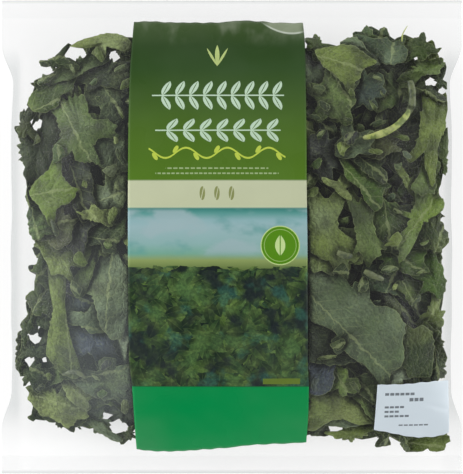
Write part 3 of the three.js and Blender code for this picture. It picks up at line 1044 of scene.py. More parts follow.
@dataclass(frozen=True)
class Opening:
    """A place near the edge where no leaf lies, so that the table shows through both films."""

    x: float
    y: float
    across: float
    along: float

    def holds(self, x: float, y: float) -> bool:
        """Return whether a place is in the opening."""
        return ((x - self.x) / self.across) ** 2 + ((y - self.y) / self.along) ** 2 < 1

    def cut_back(self, x0: float, y0: float, dx: np.ndarray, dy: np.ndarray) -> np.ndarray:
        """Return the share of each spoke of a leaf that stays clear of the opening.

        Args:
            x0: The leaf's middle.
            y0: The leaf's middle.
            dx: Each spoke's reach.
            dy: Each spoke's reach.

        Returns:
            A share from 0 to 1 for each spoke.
        """
        px, py = (x0 - self.x) / self.across, (y0 - self.y) / self.along
        qx, qy = dx / self.across, dy / self.along
        a = qx * qx + qy * qy + 1e-12
        b = 2 * (px * qx + py * qy)
        c = px * px + py * py - 1
        inside = b * b - 4 * a * c
        nearest = (-b - np.sqrt(np.maximum(inside, 0))) / (2 * a)
        hit = (inside > 0) & (nearest > 0) & (nearest < 1)
        ragged = ripples(x0 + nearest * dx, y0 + nearest * dy, 61, 3.4 * MM) * 1.1 * MM / np.hypot(dx, dy)
        return np.where(hit, np.clip(nearest + ragged, 0.05, 1.0), 1.0)


@dataclass
class LeafBatch:
    """The points, faces and colours of the leaf pieces that make up one object."""

    points: list = field(default_factory=list)
    faces: list = field(default_factory=list)
    tints: list = field(default_factory=list)
    maps: list = field(default_factory=list)
    count: int = 0

    def add(self, points: np.ndarray, faces: list, tint: np.ndarray, leaf_map: np.ndarray) -> None:
        """Add one leaf piece."""
        self.points.append(points)
        self.faces.extend([[i + self.count for i in one] for one in faces])
        self.tints.append(tint)
        self.maps.append(leaf_map)
        self.count += len(points)

    def build(self, name: str) -> bpy.types.Object:
        """Make one object of the batch.

        Args:
            name: Name of the object.

        Returns:
            The new piece.
        """
        mesh = bpy.data.meshes.new(name)
        mesh.from_pydata(np.concatenate(self.points).tolist(), [], self.faces)
        tint = mesh.attributes.new("tint", "FLOAT_COLOR", "POINT")
        tint.data.foreach_set("color", np.concatenate(self.tints).ravel())
        corners = np.empty(len(mesh.loops), dtype=np.int32)
        mesh.loops.foreach_get("vertex_index", corners)
        layer = mesh.uv_layers.new(name="leaf")
        layer.data.foreach_set("uv", np.concatenate(self.maps)[corners].ravel())
        piece = bpy.data.objects.new(name, mesh)
        bpy.context.scene.collection.objects.link(piece)
        return piece


class PressedSide:
    """The room beside one face of the film, which leaves fill from the film inwards."""

    def __init__(self, form: BagForm, front: bool) -> None:
        """Measure the room beside the front or the back film."""
        self.form = form
        self.sign = 1.0 if front else -1.0
        self.cell = 1 * MM
        self.half = 142 * MM
        axis = np.arange(-self.half, self.half + self.cell / 2, self.cell)
        x, y = np.meshgrid(axis, axis, indexing="ij")
        high, low = form.front(x, y), form.back(x, y)
        self.room = self.sign * (high if front else low) - 0.35 * MM
        self.start = self.room.copy()
        self.limit = self.sign * (0.5 * high + 0.5 * low) + 0.25 * MM

    def read(self, grid: np.ndarray, x: np.ndarray, y: np.ndarray) -> np.ndarray:
        """Return a grid's value between its points."""
        top = len(grid) - 1.001
        i = np.clip((x + self.half) / self.cell, 0, top)
        j = np.clip((y + self.half) / self.cell, 0, top)
        i0, j0 = i.astype(int), j.astype(int)
        di, dj = i - i0, j - j0
        near = grid[i0, j0] * (1 - dj) + grid[i0, j0 + 1] * dj
        far = grid[i0 + 1, j0] * (1 - dj) + grid[i0 + 1, j0 + 1] * dj
        return near * (1 - di) + far * di

    def fill(self, x: np.ndarray, y: np.ndarray, z: np.ndarray) -> None:
        """Take the room down to z at these points and next to them."""
        i = np.round((x.ravel() + self.half) / self.cell).astype(int)
        j = np.round((y.ravel() + self.half) / self.cell).astype(int)
        for di in (-1, 0, 1):
            for dj in (-1, 0, 1):
                a = np.clip(i + di, 0, len(self.room) - 1)
                b = np.clip(j + dj, 0, len(self.room) - 1)
                np.minimum.at(self.room, (a, b), z.ravel())

    def taken(self, x: np.ndarray, y: np.ndarray) -> np.ndarray:
        """Return from 0 to 1 whether something lies at these places already."""
        return ease(0.1 * MM, 0.5 * MM, self.read(self.start - self.room, x, y))

    def sink_places(self, places: list[tuple[float, float, float, float]], depth: float) -> None:
        """Lower the room in some places, where the heap of leaves has a deep gap."""
        axis = np.linspace(-self.half, self.half, len(self.room))
        x, y = np.meshgrid(axis, axis, indexing="ij")
        for px, py, across, along in places:
            far = np.sqrt(((x - px) / across) ** 2 + ((y - py) / along) ** 2)
            self.room -= depth * (1 - ease(0.6, 1.25, far))

    def press(self, x: np.ndarray, y: np.ndarray, relief: np.ndarray, thickness: float) -> tuple[np.ndarray, float]:
        """Press a leaf towards the film, under what lies there already.

        Args:
            x: Places of its points, by ring and spoke.
            y: Places of its points.
            relief: How far each point bends away from the film.
            thickness: Thickness of the leaf.

        Returns:
            The heights of the leaf's face, and the share of its points that had no room.
        """
        ceiling = self.read(self.room, x, y)
        lying = ceiling.copy()
        for _ in range(16):
            inward = np.vstack([lying[1:2], lying[:-1]])
            outward = np.vstack([lying[1:], lying[-1:]])
            mean = (np.roll(lying, 1, 1) + np.roll(lying, -1, 1) + inward + outward) / 4
            mean[0] = lying[1].mean()
            lying = np.minimum(ceiling, mean)
        lying = lying - relief
        limit = self.read(self.limit, x, y) + thickness
        crowded = float((lying < limit).mean())
        lying = np.maximum(lying, limit)
        self.fill(x, y, lying - thickness - 0.15 * MM)
        return self.sign * lying, crowded


@dataclass(frozen=True)
class LeafFinish:
    """Waxy kale: a colour for each piece, paler veins, blisters and soft sheen."""

    roughness: float = 0.46
    shadow: tuple = linear(41, 46, 36)
    deep: tuple = linear(30, 37, 20)
    pale: tuple = linear(136, 151, 96)
    vein: tuple = linear(164, 177, 122)

    def material(self, veins: bpy.types.NodeTree) -> bpy.types.Material:
        """Build the leaves' material."""
        tree, material, out = Tree.of_material("kale_leaf")
        place = tree.place()
        tint = tree.add("ShaderNodeAttribute", attribute_name="tint")
        rim = Signal(tree, tint.outputs["Alpha"])
        leaf_map = tree.add("ShaderNodeUVMap", uv_map="leaf").outputs[0]
        marks = tree.group(veins, Vector=leaf_map)
        vein = Signal(tree, marks.outputs["Veins"])
        blister = Signal(tree, marks.outputs["Blisters"])
        streak = Signal(tree, marks.outputs["Streaks"])
        patch = tree.noise(place, 75.0, 3.0)
        speck = tree.noise(place, 640.0, 3.0)
        colour = tree.blend(streak.span(0.25, 0.5, 0.45, 0.0), tint.outputs["Color"], self.shadow)
        colour = tree.blend(streak.span(0.52, 0.75, 0.0, 0.35), colour, self.pale)
        colour = tree.blend(patch.span(0.32, 0.52, 0.55, 0.0), colour, self.shadow)
        colour = tree.blend(patch.span(0.55, 0.72, 0.0, 0.25), colour, self.pale)
        colour = tree.blend(speck.span(0.34, 0.6, 0.28, 0.0), colour, self.deep)
        colour = tree.blend(speck.span(0.6, 0.76, 0.0, 0.2), colour, self.pale)
        colour = tree.blend(vein * 0.40, colour, self.vein)
        colour = tree.blend(rim.span(0.0, 0.06, 0.42, 0.0), colour, self.vein)
        gloss = tree.add("ShaderNodeBsdfPrincipled")
        tree.feed(colour, gloss.inputs["Base Color"])
        tree.feed(speck.span(0.3, 0.7, self.roughness - 0.07, self.roughness + 0.1), gloss.inputs["Roughness"])
        gloss.inputs["Specular IOR Level"].default_value = 0.22
        tree.feed(tree.bump(blister * 0.8 + vein * 0.2 + speck * 0.2, 0.6, 0.0009), gloss.inputs["Normal"])
        tree.feed(gloss.outputs[0], out.inputs["Surface"])
        return material


def shell_faces(rings: int, spokes: int) -> list[list[int]]:
    """List the faces of a closed round shell: an outer face, an inner face and the edge between them.

    Args:
        rings: Rings of points round the middle one.
        spokes: Points in each ring.

    Returns:
        The point numbers of each face. The outer face's points come first.
    """
    back = 1 + rings * spokes

    def at(ring: int, spoke: int) -> int:
        """Return the number of a point of the outer face."""
        return 1 + (ring - 1) * spokes + spoke % spokes

    faces = []
    for a in range(spokes):
        faces.append([0, at(1, a), at(1, a + 1)])
        faces.append([back, back + at(1, a + 1), back + at(1, a)])
        for r in range(1, rings):
            quad = [at(r, a), at(r + 1, a), at(r + 1, a + 1), at(r, a + 1)]
            faces.append(quad)
            faces.append([back + i for i in reversed(quad)])
        p, q = at(rings, a), at(rings, a + 1)
        faces.append([p, back + p, back + q, q])
    return faces


def spread_place(k: int, across: float, along: float) -> tuple[float, float]:
    """Return the place of one of many pieces that are spread evenly over a field.

    Args:
        k: Number of the piece.
        across: Half the field's width in millimetres.
        along: Half the field's length in millimetres.

    Returns:
        X and y in metres.
    """
    x, y = ((0.5 + k * step) % 1.0 * 2 - 1 for step in EVEN_STEPS)
    return x * across * MM, y * along * MM


@dataclass
class KaleFill:
    """All the cut leaves in the bag: pieces at the front film, pieces at the back film, and a core."""

    form: BagForm
    openings: list[Opening]
    corners: list[Opening]
    thickness: float = 0.42 * MM
    wash: tuple = (0.69, 0.745, 0.61, 1.0)
    splits: tuple[float, float] = (-42 * MM, 30 * MM)
    tuck: float = 6 * MM
    # Share by which a point under earlier leaves is darkened: painted contact shade.
    contact_shade: float = 0.5

    def _outline(self, leaf: LeafPiece, draw: np.random.Generator) -> tuple[np.ndarray, np.ndarray]:
        """Draw a leaf piece's outline, about its middle and along its length.

        Args:
            leaf: The leaf piece.
            draw: Its seeded draw.

        Returns:
            The reach of each spoke along the leaf and across it.
        """
        style = CUT_STYLES[leaf.cut]
        angle = np.linspace(0, 2 * math.pi, leaf.spokes, endpoint=False)
        if leaf.outline:
            reach = leaf.reach(angle)
            reach = (reach * 2 + np.roll(reach, 1) + np.roll(reach, -1)) / 4
            reach = reach * self._margin(leaf, style, angle, draw, 0.3)
            s, t = reach * np.cos(angle), reach * np.sin(angle)
            torn = style.torn * MM * (ripples(s, t, leaf.seed, 6 * MM) + 0.7 * ripples(s, t, leaf.seed + 1, 2.6 * MM))
            grow = 1 + torn / np.maximum(reach, 3 * MM)
            return s * grow, t * grow
        power = draw.uniform(1.7, 3.0)
        edge = (np.abs(np.cos(angle)) ** power + np.abs(np.sin(angle)) ** power) ** (-1 / power)
        for turns in (2, 3, 4, 5, 7):
            edge *= 1 + draw.uniform(0.03, 0.13) / math.sqrt(turns) * np.sin(turns * angle + draw.uniform(0, 6.28))
        edge *= self._margin(leaf, style, angle, draw, 1.0)
        for _ in range(draw.integers(0, style.tears + 1)):
            off = np.abs((angle - draw.uniform(0, 6.28) + math.pi) % (2 * math.pi) - math.pi)
            edge *= 1 - draw.uniform(0.15, 0.5) * np.exp(-((off / draw.uniform(0.07, 0.22)) ** 2))
        s, t = edge * np.cos(angle), edge * np.sin(angle)
        for _ in range(style.cuts):
            way = draw.uniform(0, 6.28)
            reach = draw.uniform(0.55, 0.95)
            out = s * math.cos(way) + t * math.sin(way)
            cut = np.where(out > reach, reach / np.maximum(out, 1e-6), 1.0)
            s, t = s * cut, t * cut
        t = t * (1 + draw.uniform(-0.38, 0.38) * s) + style.bow * draw.uniform(-1, 1) * (s * s - 0.35)
        return leaf.length / 2 * s, leaf.width / 2 * t

    def _margin(self, leaf: LeafPiece, style: CutStyle, angle: np.ndarray, draw: np.random.Generator,
                lobes: float) -> np.ndarray:
        """Return how a leaf's margin swings in and out: lobes and teeth where it grew, straight where it was cut."""
        warped = angle + 0.45 * np.sin(angle + draw.uniform(0, 6.28)) + 0.2 * np.sin(2 * angle + draw.uniform(0, 6.28))
        grown = ease(-0.6, 0.3, np.sin(angle * draw.integers(1, 3) + draw.uniform(0, 6.28)))
        around = math.pi * (leaf.length + leaf.width) / 2 / MM
        total = np.ones_like(angle)
        for wave, depth in ((style.lobe, style.lobe_depth * lobes), (style.tooth, style.tooth_depth)):
            count = max(2, round(around / wave))
            arch = np.abs(np.sin(count / 2 * warped + draw.uniform(0, 6.28))) ** 0.65
            total *= 1 - depth * (1 - arch) * grown
        return total

    def _keep_inside(self, leaf: LeafPiece, dx: np.ndarray, dy: np.ndarray, loose: bool) -> np.ndarray:
        """Return the share of each spoke that stays inside the bag and clear of the openings."""
        share = np.ones_like(dx)
        for opening in self.openings + ([] if loose else self.corners):
            share = np.minimum(share, opening.cut_back(leaf.x, leaf.y, dx, dy))
        for k in range(20):
            x, y = leaf.x + share * dx, leaf.y + share * dy
            if loose:
                reach_y = self.form.body_half - 2.2 * MM
                edge = self.form.half_width(np.clip(y, -reach_y, reach_y)) - 1.8 * MM
                out = (np.abs(x) > edge) | (np.abs(y) > reach_y)
            else:
                out = self._beyond_heap(x, y)
            if not out.any():
                break
            share = np.where(out, share * 0.94, share)
        return share

    def _beyond_heap(self, x: np.ndarray, y: np.ndarray) -> np.ndarray:
        """Return whether places lie beyond the heap's ragged edge."""
        ragged = 1 + 0.014 * ripples(x, y, 77, 30 * MM) + 0.008 * ripples(x, y, 78, 11 * MM)
        return (np.abs(x - 1 * MM) / (125 * MM)) ** 8 + (np.abs(y) / (119 * MM)) ** 8 > ragged**8

    def leaf(self, side: PressedSide, leaf: LeafPiece, batch: LeafBatch, loose: bool) -> bool:
        """Shape one leaf piece, press it into place and add it to a batch.

        Args:
            side: The film it lies against.
            leaf: The leaf piece.
            batch: The batch that it joins.
            loose: Whether it may reach out to the film's edge.

        Returns:
            Whether there was room for it.
        """
        draw = np.random.default_rng(leaf.seed)
        s, t = self._outline(leaf, draw)
        c, d = math.cos(math.radians(leaf.turn)), math.sin(math.radians(leaf.turn))
        dx, dy = s * c - t * d, s * d + t * c
        if leaf.outline:
            far = np.hypot(dx, dy)
            probe = 1 + 3.5 * MM / far
            under = side.taken(leaf.x + dx * probe, leaf.y + dy * probe)
            under = (under * 2 + np.roll(under, 1) + np.roll(under, -1)) / 4
            dx, dy = dx * (1 + under * self.tuck / far), dy * (1 + under * self.tuck / far)
            s, t = dx * c + dy * d, dy * c - dx * d
        share = self._keep_inside(leaf, dx, dy, loose)
        closed = self.openings + ([] if loose else self.corners)
        if share.mean() < 0.4 or any(one.holds(leaf.x, leaf.y) for one in closed):
            return False
        ring = (np.arange(leaf.rings + 1) / leaf.rings)[:, None] ** 0.9
        x, y = leaf.x + ring * share * dx, leaf.y + ring * share * dy
        ls, lt = ring * share * s, ring * share * t
        relief = self._relief(leaf, ring, ls, lt, draw)
        # How far each point lies under leaves laid before it, for the painted contact shade below.
        shade = side.taken(x, y)
        heights, crowded = side.press(x, y, relief, self.thickness)
        if crowded > 0.9 and not loose:
            return False
        self._add_solid(side.sign, leaf, x, y, heights, ring, ls, lt, shade, batch, draw)
        return True

    def _relief(self, leaf: LeafPiece, ring: np.ndarray, s: np.ndarray, t: np.ndarray,
                draw: np.random.Generator) -> np.ndarray:
        """Return how far each point of a leaf bends away from the film.

        Args:
            leaf: The leaf piece.
            ring: Share of the way out to the margin.
            s: Places along the leaf.
            t: Places across the leaf.
            draw: Its seeded draw.

        Returns:
            Depths, all above nought.
        """
        style = CUT_STYLES[leaf.cut]
        angle = np.linspace(0, 2 * math.pi, leaf.spokes, endpoint=False)[None, :]
        phase = draw.uniform(0, 2 * math.pi)
        swing = np.sin(style.turns * angle + phase + 1.4 * np.sin(2 * angle + phase))
        margin = style.ruffle * MM * ring**2.0 * (0.5 + 0.5 * swing)
        edge = style.curl * MM * ring**5
        seed = int(draw.integers(1, 100000))
        blister = 0.22 * MM * (1 + ripples(s, t, seed, 6 * MM)) + 0.5 * MM * (1 + ripples(s, t, seed + 1, 24 * MM))
        crease = style.fold * MM * np.abs(t) / (leaf.width / 2)
        way = draw.uniform(0, 2 * math.pi)
        beyond = s * math.cos(way) + t * math.sin(way) - draw.uniform(-0.1, 0.5) * leaf.width / 2
        bent = draw.uniform(0.0, 0.16 if leaf.outline else 0.4) * np.maximum(0.0, beyond)
        return leaf.sink + margin + edge + np.maximum(blister, 0) + crease + bent

    def _add_solid(self, sign: float, leaf: LeafPiece, x: np.ndarray, y: np.ndarray, z: np.ndarray,
                   ring: np.ndarray, s: np.ndarray, t: np.ndarray, shade: np.ndarray, batch: LeafBatch,
                   draw: np.random.Generator) -> None:
        """Add a leaf's outer face, its inner face and its cut edge to a batch."""
        outer = np.stack([x[1:], y[1:], z[1:]], axis=2).reshape(-1, 3)
        outer = np.vstack([[x[0, 0], y[0, 0], z[0].mean()], outer])
        inner = outer - np.array([0, 0, sign * self.thickness])
        points = np.vstack([outer, inner])
        faces = shell_faces(leaf.rings, leaf.spokes)
        if sign < 0:
            faces = [one[::-1] for one in faces]
        base = np.array(linear(*leaf.tint.value))
        other = np.array(linear(*draw.choice(list(Tint)).value))
        seed = int(draw.integers(1, 100000))
        drift = ease(-0.4, 1.6, ripples(s, t, seed, 30 * MM, 4)) * (0.4 if leaf.outline else 0.6)
        level = draw.uniform(0.94, 1.06) if leaf.outline else draw.uniform(0.8, 1.15)
        # Painted shade: points tucked under earlier leaves are darkened, standing for the contact shadow of the leaves
        # above.
        level = level * (1 + 0.16 * ripples(s, t, seed + 1, 16 * MM, 4)) * (1 - self.contact_shade * shade)
        drift, level = (np.concatenate([[part[0].mean()], part[1:].ravel()]) for part in (drift, level))
        tint = (base[None, :] + (other - base)[None, :] * drift[:, None]) * level[:, None] * np.array(self.wash)
        edge_room = (1 - ring) * np.hypot(x[-1] - leaf.x, y[-1] - leaf.y)[None, :] / (10 * MM)
        tint[:, 3] = np.concatenate([[edge_room[0].mean()], edge_room[1:].ravel()])
        if leaf.tint is Tint.STRIPE:
            stripes = 0.5 + 0.5 * np.sin(np.concatenate([[s[0, 0]], s[1:].ravel()]) / (0.75 * MM))
            tint[:, :3] *= (0.85 + 0.9 * stripes**3)[:, None]
        offset = draw.uniform(-0.3, 0.3) * leaf.width + draw.choice([0, 0, 1, -1]) * leaf.width
        flat = np.stack([s, t + offset], axis=2)
        leaf_map = np.vstack([flat[0, :1], flat[1:].reshape(-1, 2)]) * 100
        batch.add(points, faces, np.vstack([tint, tint * 0.92]), np.vstack([leaf_map, leaf_map]))

    def scatter(self, side: PressedSide, batches: list[LeafBatch], count: int, seed: int, size: tuple[float, float],
                tints: list[Tint], rings: int, spokes: int, avoid_band: bool) -> None:
        """Lay seeded leaf pieces over a whole face of the bag.

        Args:
            side: The film that they lie against.
            batches: The batches of the left, the middle and the right.
            count: Number of pieces.
            seed: Seed of the draw.
            size: Smallest and largest length.
            tints: Colours to draw from.
            rings: Rings of points in each piece.
            spokes: Spokes of points in each piece.
            avoid_band: Whether few are laid where the printed band hides them.
        """
        draw = np.random.default_rng(seed)
        for k in range(count):
            x, y = spread_place(k, 120, 114)
            length = draw.uniform(*size)
            hidden = avoid_band and -48 * MM < x < 34 * MM
            leaf = LeafPiece(
                name="", x=x + draw.uniform(-4, 4) * MM, y=y + draw.uniform(-4, 4) * MM, length=length,
                width=length * draw.uniform(0.5, 0.85), turn=draw.uniform(0, 360),
                tint=tints[int(draw.integers(len(tints)))],
                cut=list(Cut)[int(draw.choice(4, p=[0.42, 0.3, 0.2, 0.08]))],
                sink=draw.uniform(0.3, 2.0) * MM, seed=int(draw.integers(1, 10**6)), rings=rings, spokes=spokes,
            )
            if hidden and k % 3:
                continue
            zone = 0 if leaf.x < self.splits[0] else 2 if leaf.x >= self.splits[1] else 1
            self.leaf(side, leaf, batches[zone], False)

    def crumbs(self, side: PressedSide, batches: list[LeafBatch], count: int, seed: int,
               large: list[LeafPiece]) -> None:
        """Lay small torn bits right under the film, clear of the large leaves.

        Args:
            side: The film that they lie against.
            batches: The batches of the left, the middle and the right.
            count: Number of bits.
            seed: Seed of the draw.
            large: Leaves that stay uncovered.
        """
        draw = np.random.default_rng(seed)
        for k in range(count):
            x, y = spread_place(k, 118, 110)
            length = draw.uniform(4.5, 12) * MM
            leaf = LeafPiece(
                name="", x=x, y=y, length=length, width=length * draw.uniform(0.25, 0.8), turn=draw.uniform(0, 360),
                tint=CRUMB_TINTS[int(draw.integers(len(CRUMB_TINTS)))], cut=list(Cut)[int(draw.integers(4))],
                sink=draw.uniform(0.1, 0.5) * MM, seed=int(draw.integers(1, 10**6)), rings=4, spokes=26,
            )
            if -62 * MM < x < 47 * MM or any(one.covers(x, y) for one in large):
                continue
            self.leaf(side, leaf, batches[0 if x < 0 else 2], False)

    def core(self, front: PressedSide, back: PressedSide, batch: LeafBatch) -> None:
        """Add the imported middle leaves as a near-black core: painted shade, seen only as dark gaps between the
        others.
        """
        rings, spokes = 26, 96
        angle = np.linspace(0, 2 * math.pi, spokes, endpoint=False)
        ring = (np.arange(rings + 1) / rings)[:, None]
        square = (np.abs(np.cos(angle)) ** 6 + np.abs(np.sin(angle)) ** 6) ** (-1 / 6)
        x = ring * (114 * MM * np.cos(angle) * square)[None, :]
        y = ring * (105 * MM * np.sin(angle) * square)[None, :]
        sheets = []
        for side in (front, back):
            low = side.room.copy()
            for axis in (0, 1):
                for shift in (-2, -1, 1, 2):
                    low = np.minimum(low, np.roll(side.room, shift, axis))
            sheets.append(side.sign * (side.read(low, x, y) - 0.6 * MM))
        top, foot = sheets
        middle = (top + foot) / 2
        thin = top - foot < 1.2 * MM
        top = np.where(thin, middle + 0.6 * MM, top)
        foot = np.where(thin, middle - 0.6 * MM, foot)
        top[-1], foot[-1] = middle[-1] + 0.2 * MM, middle[-1] - 0.2 * MM
        upper = np.vstack([[0, 0, top[0].mean()], np.stack([x[1:], y[1:], top[1:]], 2).reshape(-1, 3)])
        lower = np.vstack([[0, 0, foot[0].mean()], np.stack([x[1:], y[1:], foot[1:]], 2).reshape(-1, 3)])
        faces = shell_faces(rings, spokes)
        points = np.vstack([upper, lower])
        # Painted shade: the core's colour is near black, standing for leaves deep in the bag that lie in shadow.
        tint = np.tile(np.array(linear(44, 46, 48)), (len(points), 1))
        batch.add(points, faces, tint, points[:, :2] * 100)


@dataclass
class Stem:
    """One cut stem: a tapered, slightly knobbly rod along a bent path."""

    name: str
    path: list[tuple[float, float]]
    thick: float
    thin: float
    taper: float = 0.25
    worn: bool = False
    node: str = ""

    def course(self, side: PressedSide, count: int = 60) -> tuple[np.ndarray, np.ndarray, np.ndarray, np.ndarray]:
        """Return the stem's course just under the film, and its radius along it.

        Args:
            side: The room under the front film.
            count: Number of points.

        Returns:
            X, y and z along the course, and the radius.
        """
        knots = np.array(self.path) * MM
        share = np.linspace(0, len(knots) - 1, count)
        padded = np.vstack([2 * knots[0] - knots[1], knots, 2 * knots[-1] - knots[-2]])
        k = np.minimum(share.astype(int), len(knots) - 2)
        f = (share - k)[:, None]
        a, b, c, d = (padded[k + i] for i in range(4))
        spot = 0.5 * (2 * b + (c - a) * f + (2 * a - 5 * b + 4 * c - d) * f**2 + (3 * b - a - 3 * c + d) * f**3)
        x, y = spot[:, 0], spot[:, 1]
        radius = (self.thick + (self.thin - self.thick) * np.linspace(0, 1, count)) * MM / 2
        radius = radius * (1 + 0.06 * ripples(np.linspace(0, 1, count), 0 * x, len(self.name), 0.3))
        z = side.read(side.room, x, y) - radius - 0.2 * MM
        return x, y, z, radius

    def build(self, side: PressedSide) -> bpy.types.Object:
        """Build and dress the stem, and take its room.

        Args:
            side: The room under the front film.

        Returns:
            The finished piece.
        """
        count = 60
        x, y, z, radius = self.course(side, count)
        tangent = np.gradient(np.stack([x, y], 1), axis=0)
        tangent /= np.linalg.norm(tangent, axis=1)[:, None]

        def place(u: np.ndarray, v: np.ndarray) -> tuple:
            row = (v + 1) / 2 * (count - 1)
            low = np.clip(row.astype(int), 0, count - 2)
            part = row - low

            def pick(values: np.ndarray) -> np.ndarray:
                """Return the course's value beside each point."""
                return values[low] * (1 - part) + values[low + 1] * part

            angle = math.pi * u
            closing = np.where(np.abs(v) >= 1, 0.0, 1.0 - self.taper * ease(0.45, 1.0, np.abs(v)))
            closing = closing * (1 - 0.12 * ease(0.94, 1.0, np.abs(v)))
            size = pick(radius) * closing * (1 + 0.05 * np.sin(3 * angle))
            tx, ty = pick(tangent[:, 0]), pick(tangent[:, 1])
            side_step, lift = size * np.cos(angle), 0.92 * size * np.sin(angle)
            return pick(x) + ty * side_step, pick(y) - tx * side_step, pick(z) + lift

        piece = grid_piece(self.name, 20, 60, place)
        close_seams(piece, 0.000005)
        worn = StemFinish(linear(106, 116, 78), linear(64, 76, 50), linear(136, 144, 100))
        finish = worn if self.worn else StemFinish()
        dress(piece, finish.material(), [self.node or self.name])
        for step in (-1.0, -0.5, 0.0, 0.5, 1.0):
            side.fill(x + step * radius * tangent[:, 1], y - step * radius * tangent[:, 0], z - radius - 0.3 * MM)
        return piece


@dataclass(frozen=True)
class StemFinish:
    """Pale green stem with lengthwise streaks and paler patches."""

    colour: tuple = linear(176, 188, 102)
    streak: tuple = linear(108, 126, 58)
    pale: tuple = linear(204, 208, 142)

    def material(self) -> bpy.types.Material:
        """Build the stems' material."""
        tree, material, out = Tree.of_material("kale_stem")
        place = tree.place()
        streak = tree.noise(place, 300.0, 3.0)
        patch = tree.noise(place, 90.0, 2.0)
        colour = tree.blend(streak.span(0.42, 0.62), self.colour, self.streak)
        colour = tree.blend(patch.span(0.5, 0.7, 0.0, 0.6), colour, self.pale)
        gloss = tree.add("ShaderNodeBsdfPrincipled")
        tree.feed(colour, gloss.inputs["Base Color"])
        tree.feed(streak.span(0.3, 0.7, 0.34, 0.5), gloss.inputs["Roughness"])
        tree.feed(tree.bump(streak, 0.4, 0.0006), gloss.inputs["Normal"])
        tree.feed(gloss.outputs[0], out.inputs["Surface"])
        return material


